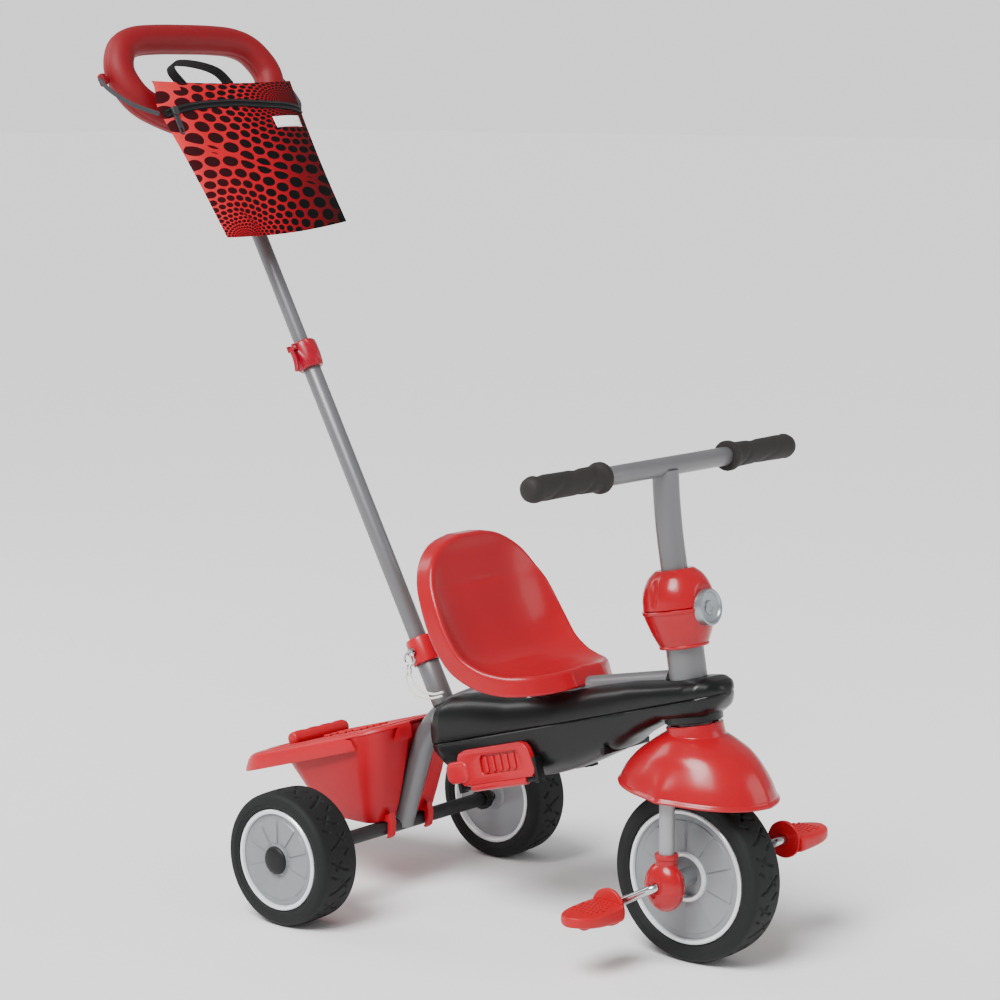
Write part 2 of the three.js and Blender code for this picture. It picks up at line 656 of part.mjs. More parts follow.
function bucketBody() {
  const wall = 3;
  const skin = (inset, lowZ, topExtra) => loft([
    roundedRing(-84 + inset, 4 - inset, 62 - inset, 16, () => lowZ),
    roundedRing(-112 + inset, 17 - inset, 73 - inset, 26, (x) => 140 + 0.15 * x),
    roundedRing(-146 + inset, 30 - inset, 84 - inset, 34, (x) => lidTop(x) - 5 + topExtra),
  ]);
  const outer = skin(0, rear.radius + axle.tube + 0.7, 0);
  const inner = skin(wall, rear.radius + axle.tube + 0.7 + wall, 4);
  const hollow = inner.subtract(legRoom(4 + wall));
  let body = outer.subtract(legRoom(4)).subtract(hollow);
  for (const sign of [-1, 1]) {
    const y = sign * 35;
    body = body.add(block(v(axle.tube + 0.7, y - 4, 72), v(15, y + 4, 97)))
      .add(block(v(-6, y - 4, rear.radius + axle.tube + 0.7), v(15, y + 4, 97)));
  }
  return body;
}

function bucketLid() {
  const rows = (inset, drop) => [
    roundedRing(
      -214 + inset, 34 - inset, 94 - inset, 52 - inset / 2,
      (x) => lidTop(x) - lid.skirt - drop, 0.94,
    ),
    roundedRing(-206 + inset, 32 - inset, 91 - inset, 50 - inset / 2, (x) => lidTop(x) - 4 - inset / 2, 0.94),
    roundedRing(-198 + inset, 30 - inset, 86 - inset, 46 - inset / 2, (x) => lidTop(x) - inset, 0.94),
  ];
  const shell = loft(rows(0, 0)).subtract(loft(rows(lid.wall, 6)));
  const bodyRoom = loft([
    roundedRing(-148, 32, 86, 36, (x) => lidTop(x) - 60),
    roundedRing(-148, 32, 86, 36, (x) => lidTop(x) - 4.5),
  ]);
  const gripBar = rod(v(-145, -50, lidTop(-145) + 7), v(-145, 50, lidTop(-145) + 7), 9, 14);
  return shell.subtract(bodyRoom).subtract(legRoom(4.5)).add(gripBar.subtract(bodyRoom));
}
tricycle.add(
  meshOf('bucket_body', bucketBody(), 'redBucket'),
  meshOf('bucket_lid', bucketLid(), 'redBucket'),
);

// ---- fold-out footrests --------------------------------------------------------
function addFootrests() {
  for (const [side, sign] of [['right', -1], ['left', 1]]) {
    const plate = slabY([[-58, 0], [57, 0], [62, 8], [54, 38], [46, 42], [-50, 42], [-58, 34]],
      footrest.y + 1, footrest.y + 9);
    const barrel = rod(v(-72, footrest.y + 8.5, 14), v(-50, footrest.y + 8.5, 14), 7, 16);
    const { pinY, pinZ, pinRadius } = footrest;
    const knuckle = rod(v(-44, pinY, pinZ), v(44, pinY, pinZ), 5, 16);
    const pinRoom = rod(v(-50, pinY, pinZ), v(50, pinY, pinZ), pinRadius + gap, 12);
    const body = plate.add(barrel).add(knuckle).subtract(pinRoom);
    const pin = rod(v(-66, sign * pinY, pinZ), v(66, sign * pinY, pinZ), pinRadius, 10);
    const pieces = [
      meshOf(`footrest_${side}`, sign > 0 ? body : body.mirror([0, 1, 0]), 'redLatch'),
      meshOf(`footrest_pin_${side}`, pin, 'steel'),
    ];
    for (const mesh of pieces) {
      mesh.position.set(footrest.x, 0, footrest.z);
      mesh.rotation.y = -footrest.slope;
      tricycle.add(mesh);
    }
  }
}
addFootrests();

// ---- push pole -------------------------------------------------------------------
function polePieces() {
  const pinHeight = 12;
  const pinRoom = rod(v(0, -40, pinHeight), v(0, 40, pinHeight), 3.3, 12);
  const lower = rod(v(0, 0, lowerPole.from), v(0, 0, lowerPole.to), lowerPole.outer, 18, lowerPole.inner);
  const upper = rod(v(0, 0, upperPole.from), v(0, 0, upperPole.to), upperPole.outer, 18, upperPole.inner);
  const collar = turnedZ([
    [14.5, -5], [17.5, -5], [18, 2], [17, 26], [15, 28], [11.4, 28], [11.4, 0.4], [14.5, 0.4],
  ], 24);
  const clamp = turnedZ([
    [11.4, 398], [15, 398], [17, 404], [17, 428], [15, 434], [9.9, 434], [9.9, 428.5], [11.4, 428.5],
  ], 24);
  const lug = block(v(-6, -24, 424), v(6, -15.5, 432)).subtract(block(v(-3.3, -30, 420), v(3.3, -17, 440)));
  const pinHole = rod(v(-8, -21, 428), v(8, -21, 428), 1.8, 10);
  const clampBody = clamp.add(lug).subtract(pinHole);
  const lever = block(v(-3, -24, 400), v(3, -18, 430.5)).add(block(v(-5, -26, 398), v(5, -20, 416)))
    .subtract(rod(v(-8, -21, 428), v(8, -21, 428), 1.9, 10));
  const clampPin = rod(v(-6.5, -21, 428), v(6.5, -21, 428), 1.5, 10);
  const pin = rod(v(0, -22, pinHeight), v(0, 19, pinHeight), 2.9, 12)
    .add(rod(v(0, -25, pinHeight), v(0, -18.6, pinHeight), 5.5, 16));
  const ring = solid(new THREE.TorusGeometry(8, 1.2, 6, 16)).rotate([90, 0, 0])
    .rotate([0, 20, 0]).translate([-2, -27, 4.5]);
  poleGroup.add(
    meshOf('lower_pole', lower.subtract(pinRoom), 'silverPaint'),
    meshOf('upper_pole', upper, 'silverPaint'),
    meshOf('socket_collar', collar.subtract(pinRoom), 'redLatch'),
    meshOf('clamp_collar', clampBody, 'redLatch'),
    meshOf('clamp_lever', lever, 'redLatch'),
    meshOf('clamp_pin', clampPin, 'steel'),
    meshOf('socket_pin', pin, 'steel'),
    meshOf('pin_ring', ring, 'steel'),
  );
}
polePieces();

// ---- push handle ---------------------------------------------------------------------
function handleLoop() {
  const half = [
    [0, handle.top], [46, handle.top - 0.5], [86, handle.top - 4], [113, handle.top - 16],
    [129, handle.top - 41], [129, handle.top - 63], [117, handle.top - 87], [92, handle.top - 104],
    [50, handle.bottom + 5],
  ];
  const points = [...half, [0, handle.bottom], ...half.slice(1).reverse().map(([y, z]) => [-y, z])];
  return new THREE.CatmullRomCurve3(points.map(([y, z]) => v(0, y, z)), true, 'catmullrom', 0.5);
}

// One half of the handle shell: a D section swept round the loop.
function handleHalf(sign) {
  const curve = handleLoop();
  const steps = 40;
  const rings = [];
  for (let i = 0; i < steps; i += 1) {
    const at = curve.getPointAt(i / steps);
    const along = curve.getTangentAt(i / steps);
    const outward = v(0, -along.z, along.y);
    const ring = [];
    for (let j = 0; j <= 6; j += 1) {
      const angle = (j / 6) * Math.PI;
      const side = Math.cos(angle) * handle.tube;
      const depth = Math.sin(angle) * handle.tube + gap / 2;
      ring.push(at.clone().addScaledVector(outward, side).add(v(sign * depth, 0, 0)));
    }
    rings.push(ring);
  }
  const halfSpace = sign > 0
    ? block(v(gap / 2, -60, 690), v(40, 60, 760))
    : block(v(-40, -60, 690), v(-gap / 2, 60, 760));
  const boss = rod(v(0, 0, 704), v(0, 0, handle.bottom), 14, 20).intersect(halfSpace);
  const room = rod(v(0, 0, 700), v(0, 0, upperPole.to + gap), upperPole.outer + gap, 18);
  return loft(rings, true).add(boss).subtract(room);
}

function handleParts() {
  let back = handleHalf(-1);
  for (const sign of [-1, 1]) {
    const arm = block(v(-12, 140, 809), v(-2, 156, 820));
    const tip = block(v(-12, 155, 806), v(-2, 160, 822));
    const hook = arm.add(tip);
    back = back.add(sign > 0 ? hook : hook.mirror([0, 1, 0]));
  }
  poleGroup.add(
    meshOf('handle_front_shell', handleHalf(1), 'redSoft'),
    meshOf('handle_rear_shell', back, 'redSoft'),
  );
}
handleParts();

// ---- bag on the handle ------------------------------------------------------------------
function bagBody() {
  const rows = [
    [bag.low, 1, 5], [bag.low + 14, 1, 13], [bag.low + 60, 1, bag.depth], [bag.high - 70, 1, bag.depth],
    [bag.high - 20, 1, 15], [bag.high, 0.97, 5],
  ];
  return loft(rows.map(([z, width, depth]) => {
    const t = (z - bag.low) / (bag.high - bag.low);
    const left = THREE.MathUtils.lerp(bag.halfLow, bag.halfHigh, t) * width;
    const right = left - 18 * THREE.MathUtils.smoothstep(t, 0.8, 1);
    const back = THREE.MathUtils.lerp(bag.backLow, bag.backHigh, t);
    const front = back + depth;
    const droop = (y) => z - bag.droop * (1 - t) * (left - y) / (left + right);
    const outline = [
      [back, -right + 6], [back, left - 6], [back + depth * 0.4, left],
      [front, left - 22], [front, -right + 22], [back + depth * 0.4, -right],
    ];
    return outline.map(([x, y]) => v(x, y, droop(y)));
  }));
}

function bagPieces() {
  const slider = block(v(49, -114, 741), v(53, -106, 753))
    .add(block(v(50.5, -112.5, 722), v(52.2, -107.5, 742)));
  const loopPath = new THREE.CatmullRomCurve3([
    v(25, -65, 801), v(25, -75, 815), v(25, -63, 829), v(25, -25, 827), v(25, 15, 815), v(25, 29, 803),
  ]);
  const strip = new THREE.Shape(
    [[-1.2, -9], [1.2, -9], [1.2, 9], [-1.2, 9]].map(([x, y]) => new THREE.Vector2(x, y)),
  );
  const carryLoop = sweep(strip, loopPath, 16);
  poleGroup.add(
    meshOf('bag', bagBody(), 'fabric'),
    meshOf('zip_slider', slider, 'steel'),
    meshOf('bag_carry_loop', carryLoop, 'webbing'),
  );
  for (const [side, sign] of [['right', -1], ['left', 1]]) {
    const path = new THREE.CatmullRomCurve3([
      v(-7, sign * 163.4, 812), v(2, sign * 162, 794), v(18, sign * 150, 768), v(31, sign * 136, 748),
    ]);
    const strap = sweep(disc(2.2, 8), path, 10);
    poleGroup.add(meshOf(`bag_strap_${side}`, strap, 'webbing'));
  }
}
bagPieces();

// ---- tether from the socket pin to the frame ------------------------------------------------
function tether() {
  const route = [
    v(37, -27, 289.5), v(40, -29, 280), v(47, -30, 272), v(60, -28, 264), v(75, -25, 262), v(88, -22, 266),
  ];
  const strand = sweep(disc(1.6, 8), new THREE.CatmullRomCurve3(route), 20);
  tricycle.add(meshOf('tether_cord', strand, 'whiteCord'));
}
tether();

export default tricycle;
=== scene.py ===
"""Children's tricycle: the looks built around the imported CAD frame. Lengths here are in millimetres
from the middle of the rear axle's ground line, and `put` turns them into the row frame in metres."""

import math

import bmesh
import bpy
import numpy as np
from mathutils import Matrix, Vector


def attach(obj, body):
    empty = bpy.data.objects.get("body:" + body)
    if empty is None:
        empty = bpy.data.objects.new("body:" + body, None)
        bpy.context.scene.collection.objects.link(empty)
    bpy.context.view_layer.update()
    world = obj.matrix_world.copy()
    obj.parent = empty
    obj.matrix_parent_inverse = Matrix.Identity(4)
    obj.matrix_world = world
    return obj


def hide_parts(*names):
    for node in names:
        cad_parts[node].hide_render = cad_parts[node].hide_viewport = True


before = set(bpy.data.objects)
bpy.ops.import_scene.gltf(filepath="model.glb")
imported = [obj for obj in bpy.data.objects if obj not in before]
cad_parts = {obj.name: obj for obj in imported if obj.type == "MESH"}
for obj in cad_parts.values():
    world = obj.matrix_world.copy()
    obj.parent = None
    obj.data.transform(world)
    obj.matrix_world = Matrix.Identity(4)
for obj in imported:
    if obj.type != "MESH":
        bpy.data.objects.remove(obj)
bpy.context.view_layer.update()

# ---- places ------------------------------------------------------------------
SHIFT = 81.35
ROW = Matrix.Scale(0.001, 4) @ Matrix.Translation((-SHIFT, 0, 0))
HERE = Matrix.Identity(4)
STEER = Matrix.Translation((441.9, 0, 335.1)) @ Matrix.Rotation(math.radians(-10), 4, "Y")
POLE = Matrix.Translation((41, 0, 298)) @ Matrix.Rotation(math.radians(-28.787), 4, "Y")
FRONT_X, FRONT_RADIUS = 458, 101.5
REAR_RADIUS, REAR_Y = 82, 198.5
CRANK_REACH, CRANK_TILT = 61.5, math.radians(28)
BAR_X, BAR_Z = 407, 571
FRONT = Matrix.Translation((FRONT_X, 0, FRONT_RADIUS))
FOOT = Matrix.Translation((204, 0, 180)) @ Matrix.Rotation(math.radians(-15.6), 4, "Y")
SIDES = (("right", -1), ("left", 1))


def facing(sign):
    """The outward side of a left or right part: -Y is built first, and +Y is that turned round."""
    return Matrix.Rotation(math.pi if sign > 0 else 0, 4, "Z")


# ---- camera and lights -------------------------------------------------------
def camera():
    """A long lens looking down a little, from in front and to the right."""
    data = bpy.data.cameras.new("camera")
    data.lens = 100.8
    data.sensor_width = 36
    made = bpy.data.objects.new("camera", data)
    made.location = (2.2193, -2.551, 1.008)
    made.rotation_euler = (math.radians(90 - 8.53), 0, math.radians(40))
    bpy.context.collection.objects.link(made)
    bpy.context.scene.camera = made


def area_light(name, place, aim, size, power):
    """A rectangular soft box at a place, turned toward its aim."""
    data = bpy.data.lights.new(name, "AREA")
    data.shape = "RECTANGLE"
    data.size, data.size_y = size
    data.energy = power
    made = bpy.data.objects.new(name, data)
    made.location = place
    made.rotation_euler = (Vector(aim) - Vector(place)).to_track_quat("-Z", "Y").to_euler()
    bpy.context.collection.objects.link(made)


def studio():
    """An even soft sky with a bright horizon, a broad sun and three soft boxes."""
    world = bpy.data.worlds.new("studio")
    world.use_nodes = True
    nodes, links = world.node_tree.nodes, world.node_tree.links
    where = nodes.new("ShaderNodeTexCoord")
    split = nodes.new("ShaderNodeSeparateXYZ")
    fall = nodes.new("ShaderNodeMapRange")
    fall.inputs["From Min"].default_value = 0.03
    fall.inputs["From Max"].default_value = 0.14
    fall.inputs["To Min"].default_value = 1.25
    fall.inputs["To Max"].default_value = 0.42
    links.new(where.outputs["Generated"], split.inputs[0])
    links.new(split.outputs[2], fall.inputs["Value"])
    links.new(fall.outputs["Result"], nodes["Background"].inputs["Strength"])
    nodes["Background"].inputs["Color"].default_value = (1, 1, 1, 1)
    bpy.context.scene.world = world
    data = bpy.data.lights.new("sun", "SUN")
    data.energy = 4.4
    data.angle = math.radians(30)
    made = bpy.data.objects.new("sun", data)
    made.rotation_euler = Vector((-0.05, 0.8, -1.1)).to_track_quat("-Z", "Y").to_euler()
    bpy.context.collection.objects.link(made)
    area_light("key", (1.2, -2.6, 3.0), (0, 0, 0.45), (1.6, 1.2), 45)
    area_light("rim", (-2.6, -0.6, 2.2), (0, 0, 0.45), (1.0, 1.6), 25)
    area_light("fill", (2.8, 1.4, 1.6), (0.1, 0, 0.4), (1.4, 1.4), 16)


camera()
studio()


# ---- looks -------------------------------------------------------------------
def linear(rgb):
    """An 8-bit sRGB colour as linear red, green, blue and alpha."""
    return [((c / 255 + 0.055) / 1.055) ** 2.4 if c > 10 else c / 255 / 12.92 for c in rgb] + [1]


def look(name, rgb, rough, metal=0.0, coat=0.0, grain=400.0, bump=0.0, uneven=0.04):
    """A painted, moulded or woven surface: one colour, slightly uneven, with a fine grain."""
    made = bpy.data.materials.new(name)
    made.use_nodes = True
    nodes, links = made.node_tree.nodes, made.node_tree.links
    shader = nodes["Principled BSDF"]
    shader.inputs["Metallic"].default_value = metal
    shader.inputs["Specular IOR Level"].default_value = 0.5 if metal > 0.5 else 0.3
    shader.inputs["Coat Weight"].default_value = coat
    shader.inputs["Coat Roughness"].default_value = 0.12
    where = nodes.new("ShaderNodeTexCoord")
    cloud = nodes.new("ShaderNodeTexNoise")
    cloud.inputs["Scale"].default_value = 14
    cloud.inputs["Detail"].default_value = 3
    links.new(where.outputs["Object"], cloud.inputs["Vector"])
    tint = nodes.new("ShaderNodeValToRGB")
    tint.color_ramp.elements[0].position = 0.3
    tint.color_ramp.elements[1].position = 0.7
    base = linear(rgb)
    tint.color_ramp.elements[0].color = [c * (1 - uneven) for c in base[:3]] + [1]
    tint.color_ramp.elements[1].color = [min(1, c * (1 + uneven)) for c in base[:3]] + [1]
    links.new(cloud.outputs["Fac"], tint.inputs["Fac"])
    links.new(tint.outputs["Color"], shader.inputs["Base Color"])
    spread = nodes.new("ShaderNodeMapRange")
    spread.inputs["To Min"].default_value = max(0.02, rough - 0.03)
    spread.inputs["To Max"].default_value = rough + 0.03
    links.new(cloud.outputs["Fac"], spread.inputs["Value"])
    links.new(spread.outputs["Result"], shader.inputs["Roughness"])
    if bump > 0:
        grit = nodes.new("ShaderNodeTexNoise")
        grit.inputs["Scale"].default_value = grain
        relief = nodes.new("ShaderNodeBump")
        relief.inputs["Strength"].default_value = bump
        relief.inputs["Distance"].default_value = 0.0006
        links.new(where.outputs["Object"], grit.inputs["Vector"])
        links.new(grit.outputs["Fac"], relief.inputs["Height"])
        links.new(relief.outputs["Normal"], shader.inputs["Normal"])
    return made


LOOKS = {
    "seat_red": look("seat_red", (160, 6, 24), 0.3, coat=0.15),
    "gloss_red": look("gloss_red", (160, 4, 22), 0.25, coat=0.2),
    "bucket_red": look("bucket_red", (178, 10, 30), 0.4),
    "soft_red": look("soft_red", (122, 5, 18), 0.55, grain=900, bump=0.25),
    "latch_red": look("latch_red", (176, 4, 28), 0.35, coat=0.2),
    "clamp_red": look("clamp_red", (150, 3, 32), 0.3, coat=0.15),
    "pedal_red": look("pedal_red", (176, 10, 24), 0.42, grain=260, bump=0.5),
    "cover_black": look("cover_black", (9, 10, 11), 0.34, coat=0.1),
    "cap_black": look("cap_black", (14, 15, 15), 0.5),
    "tread_black": look("tread_black", (20, 22, 22), 0.72, grain=700, bump=0.3),
    "grip_rubber": look("grip_rubber", (36, 33, 32), 0.66, grain=900, bump=0.3),
    "rim_grey": look("rim_grey", (132, 135, 138), 0.42, metal=0.25),
    "rim_lip": look("rim_lip", (226, 230, 232), 0.28, metal=0.35, coat=0.3),
    "frame_grey": look("frame_grey", (112, 112, 114), 0.4, metal=0.45, coat=0.15),
    "fork_grey": look("fork_grey", (150, 150, 151), 0.4, metal=0.3),
    "leg_grey": look("leg_grey", (48, 48, 50), 0.45, metal=0.35),
    "steel": look("steel", (196, 199, 202), 0.24, metal=1.0),
    "badge_silver": look("badge_silver", (150, 156, 160), 0.3, metal=0.8),
    "strap_black": look("strap_black", (18, 18, 19), 0.85, grain=1400, bump=0.6),
    "strap_grey": look("strap_grey", (62, 62, 66), 0.8, grain=1400, bump=0.6),
    "cord_white": look("cord_white", (228, 228, 222), 0.8, grain=1500, bump=0.5),
    "zip_black": look("zip_black", (14, 14, 15), 0.3, coat=0.2),
    "zip_grey": look("zip_grey", (70, 70, 74), 0.35, metal=0.6),
    "label_white": look("label_white", (236, 236, 234), 0.7, grain=1500, bump=0.3),
}


# ---- mesh helpers ------------------------------------------------------------
def put(name, verts, faces, skin, body, place=HERE, hide=(), sharp=38, picks=None, uv=None):
    """Makes one piece from points in millimetres, and lets it ride on a CAD body."""
    mesh = bpy.data.meshes.new(name)
    whole = ROW @ place
    mesh.from_pydata([whole @ Vector(p) for p in verts], [], faces)
    skins = [skin] if isinstance(skin, str) else skin
    for each in skins:
        mesh.materials.append(LOOKS[each])
    if picks is not None:
        mesh.polygons.foreach_set("material_index", picks)
    if uv is not None:
        layer = mesh.uv_layers.new(name="cloth")
        for loop in mesh.loops:
            layer.data[loop.index].uv = uv[loop.vertex_index]
    tidy = bmesh.new()
    tidy.from_mesh(mesh)
    bmesh.ops.remove_doubles(tidy, verts=tidy.verts, dist=2e-6)
    bmesh.ops.recalc_face_normals(tidy, faces=tidy.faces)
    tidy.to_mesh(mesh)
    tidy.free()
    mesh.shade_smooth()
    mesh.set_sharp_from_angle(angle=math.radians(sharp))
    made = bpy.data.objects.new(name, mesh)
    bpy.context.collection.objects.link(made)
    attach(made, body)
    if hide:
        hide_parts(*hide)
    return made


def skin_rings(rings, closed=False, caps=True):
    """Joins rings of points into one skin."""
    count = len(rings[0])
    verts = [p for ring in rings for p in ring]
    faces = []
    for r in range(len(rings) if closed else len(rings) - 1):
        after = (r + 1) % len(rings)
        for i in range(count):
            j = (i + 1) % count
            faces.append((r * count + i, r * count + j, after * count + j, after * count + i))
    if caps and not closed:
        faces.append(tuple(range(count))[::-1])
        faces.append(tuple((len(rings) - 1) * count + i for i in range(count)))
    return verts, faces


def merge(*shapes):
    """Puts several (verts, faces) shapes into one."""
    verts, faces = [], []
    for more_verts, more_faces in shapes:
        base = len(verts)
        verts += list(more_verts)
        faces += [tuple(i + base for i in face) for face in more_faces]
    return verts, faces


def moved(shape, place):
    """Places a (verts, faces) shape with a matrix."""
    return [place @ Vector(p) for p in shape[0]], shape[1]


def turned(profile, segments=96, ripple=None):
    """Turns a closed profile of (radius, height) round the Y axis."""
    rings = []
    for i in range(segments):
        angle = 2 * math.pi * i / segments
        ring = []
        for radius, height in profile:
            more, lift = ripple(angle, radius, height) if ripple else (0, 0)
            reach = max(radius + more, 0)
            ring.append((reach * math.sin(angle), height + lift, reach * math.cos(angle)))
        rings.append(ring)
    return skin_rings(rings, closed=True)


def turned_z(profile, segments=96, ripple=None):
    """Turns a closed profile of (radius, height) round the Z axis."""
    return moved(turned(profile, segments, ripple), Matrix.Rotation(math.radians(90), 4, "X"))


def eased(points, steps=8):
    """A smooth line through points, as a list of tuples."""
    pts = np.array(points, float)
    ends = np.vstack([2 * pts[0] - pts[1], pts, 2 * pts[-1] - pts[-2]])
    line = []
    for i in range(len(pts) - 1):
        a, b, c, d = ends[i:i + 4]
        for k in range(steps):
            t = k / steps
            line.append(0.5 * (2 * b + (c - a) * t + (2 * a - 5 * b + 4 * c - d) * t * t
                               + (3 * b - a - 3 * c + d) * t ** 3))
    line.append(pts[-1])
    return [tuple(p) for p in line]


def bent(corners, radius, steps=10):
    """Straight runs joined by rounded corners."""
    pts = [Vector(c) for c in corners]
    line = [pts[0]]
    for i in range(1, len(pts) - 1):
        before = pts[i] + (pts[i - 1] - pts[i]).normalized() * radius
        after = pts[i] + (pts[i + 1] - pts[i]).normalized() * radius
        for k in range(steps + 1):
            t = k / steps
            line.append(before * (1 - t) ** 2 + pts[i] * 2 * t * (1 - t) + after * t * t)
    line.append(pts[-1])
    return line


def swept(line, section, closed=False, caps=True, start_up=(0, 0, 1)):
    """Carries a section along a line. section(i, n) gives (side, up) offsets in millimetres."""
    pts = [Vector(p) for p in line]
    total = len(pts)
    rings = []
    up = Vector(start_up)
    for i, at in enumerate(pts):
        ahead = pts[(i + 1) % total] if closed or i < total - 1 else pts[i]
        behind = pts[i - 1] if closed or i > 0 else pts[i]
        along = (ahead - behind).normalized()
        up = (up - along * up.dot(along)).normalized()
        side = along.cross(up)
        rings.append([at + side * a + up * b for a, b in section(i, total)])
    return skin_rings(rings, closed=closed, caps=caps)


def circle(radius, sides=32):
    """The section of a round tube, for `swept`."""
    ring = [(radius * math.cos(2 * math.pi * k / sides), radius * math.sin(2 * math.pi * k / sides))
            for k in range(sides)]
    return lambda i, n: ring


def bell(away, width, power=2):
    """1 where away is 0, falling to nothing over the width."""
    return math.exp(-(away / width) ** power)


def tube(line, radius, sides=32, start_up=(0, 0, 1)):
    """A round tube along a line."""
    return swept(line, circle(radius, sides), start_up=start_up)


def rod(a, b, radius, sides=32, round_edge=0.0):
    """A straight round bar with softly rounded ends."""
    a, b = Vector(a), Vector(b)
    along = (b - a).normalized()
    up = Vector((0, 0, 1)) if abs(along.z) < 0.9 else Vector((1, 0, 0))
    up = (up - along * up.dot(along)).normalized()
    side = along.cross(up)
    soft = round_edge or min(0.6, radius * 0.2)
    stations = [(0, radius - soft), (soft * 0.3, radius - soft * 0.3), (soft, radius)]
    stations += [((b - a).length - s, r) for s, r in stations[::-1]]
    rings = []
    for s, r in stations:
        rings.append([a + along * s + side * r * math.cos(2 * math.pi * k / sides)
                      + up * r * math.sin(2 * math.pi * k / sides) for k in range(sides)])
    return skin_rings(rings)


def plate(outline, low, high, soft=1.2, holes=()):
    """A flat plate drawn in X-Z with rounded edges, between two Y values. Holes are outlines too."""
    curve = bpy.data.curves.new("plate", "CURVE")
    curve.dimensions = "2D"
    curve.fill_mode = "BOTH"
    curve.extrude = (high - low) / 2 - soft
    curve.bevel_depth = soft
    curve.bevel_resolution = 2
    curve.offset = -soft
    for ring in (outline, *holes):
        spline = curve.splines.new("POLY")
        spline.points.add(len(ring) - 1)
        for point, (x, z) in zip(spline.points, ring):
            point.co = (x, z, 0, 1)
        spline.use_cyclic_u = True
    holder = bpy.data.objects.new("plate", curve)
    bpy.context.collection.objects.link(holder)
    mesh = holder.to_mesh()
    middle = (low + high) / 2
    verts = [Vector((v.co.x, middle - v.co.z, v.co.y)) for v in mesh.vertices]
    faces = [tuple(p.vertices) for p in mesh.polygons]
    holder.to_mesh_clear()
    bpy.data.objects.remove(holder)
    return verts, faces


def rounded_box(x, z, corner, steps=6):
    """The outline of a box between two X and two Z values, with round corners."""
    ring = []
    for cx, cz, quarter in ((x[1] - corner, z[1] - corner, 0), (x[0] + corner, z[1] - corner, 1),
                            (x[0] + corner, z[0] + corner, 2), (x[1] - corner, z[0] + corner, 3)):
        for k in range(steps + 1):
            a = (quarter + k / steps) * math.pi / 2
            ring.append((cx + corner * math.cos(a), cz + corner * math.sin(a)))
    return ring


def cut(body, tool_shape, place=HERE):
    """Takes a shape out of a finished piece."""
    mesh = bpy.data.meshes.new("tool")
    mesh.from_pydata([ROW @ place @ Vector(p) for p in tool_shape[0]], [], tool_shape[1])
    tidy = bmesh.new()
    tidy.from_mesh(mesh)
    bmesh.ops.recalc_face_normals(tidy, faces=tidy.faces)
    tidy.to_mesh(mesh)
    tidy.free()
    tool = bpy.data.objects.new("tool", mesh)
    bpy.context.collection.objects.link(tool)
    step = body.modifiers.new("cut", "BOOLEAN")
    step.object = tool
    step.solver = "EXACT"
    bpy.context.view_layer.update()
    done = bpy.data.meshes.new_from_object(body.evaluated_get(bpy.context.evaluated_depsgraph_get()))
    body.modifiers.remove(step)
    body.data = done
    bpy.data.objects.remove(tool)
    body.data.set_sharp_from_angle(angle=math.radians(38))


def block(low, high):
    """A plain box between two corners."""
    x, y, z = zip(low, high)
    verts = [(a, b, c) for a in x for b in y for c in z]
    faces = [(0, 1, 3, 2), (4, 6, 7, 5), (0, 4, 5, 1), (2, 3, 7, 6), (0, 2, 6, 4), (1, 5, 7, 3)]
    return verts, faces


# ---- wheels ------------------------------------------------------------------
def tread_marks(radius, cells):
    """Moulded grooves of the tread, as strokes (u0, w0, u1, w1) repeated round the tyre."""
    pitch = 2 * math.pi * radius / cells
    strokes = [
        (0.10, -15, 0.30, 4), (0.12, 0, 0.27, -9), (0.30, 4, 0.33, 10),
        (0.55, 15, 0.78, -5), (0.55, 2, 0.72, 11), (0.78, -5, 0.83, -13),
        (0.90, 14, 0.99, 7), (0.40, -16, 0.47, -9),
    ]
    return pitch, [(a * pitch, b, c * pitch, d) for a, b, c, d in strokes]


def groove_depth(u, w, pitch, strokes):
    """How deep the tread is cut at a point (u round the tyre, w across it)."""
    deep = 0.0
    for a, b, c, d in strokes:
        for wrap in (-pitch, 0, pitch):
            px, py = u + wrap - a, w - b
            qx, qy = c - a, d - b
            t = max(0, min(1, (px * qx + py * qy) / (qx * qx + qy * qy)))
            away = math.hypot(px - t * qx, py - t * qy)
            deep = max(deep, 1 - away / 2.1)
    return 2.0 * min(1, max(0, deep) * 1.6)


def tyre(radius, half, rim, cells, segments):
    """A solid tyre: a crowned tread between round shoulders, cut by the moulded grooves."""
    bead = rim + 0.7
    shoulder = 8
    flat = half - shoulder
    across = np.linspace(-flat, flat, 34)
    top = [(radius - 0.9 * (w / flat) ** 2, w) for w in across]
    corner = [(radius - 0.9 - shoulder * (1 - math.cos(a)) * 0.95, flat + shoulder * math.sin(a))
              for a in np.linspace(0.25, 1.35, 6)]
    wall = [(radius - 12, half), (radius - 13, half + 0.2), (bead + 7, half), (bead + 6, half - 0.7),
            (bead + 2.5, half - 0.8), (bead + 0.8, half - 2), (bead, half - 4)]
    right = corner + wall
    left = [(r, -h) for r, h in right[::-1]]
    profile = left + top + right
    pitch, strokes = tread_marks(radius, cells)

    def ripple(angle, r, h):
        if r < radius - 3.5:
            return 0, 0
        return -groove_depth((angle * radius) % pitch, h, pitch, strokes), 0
    return turned(profile, segments, ripple)


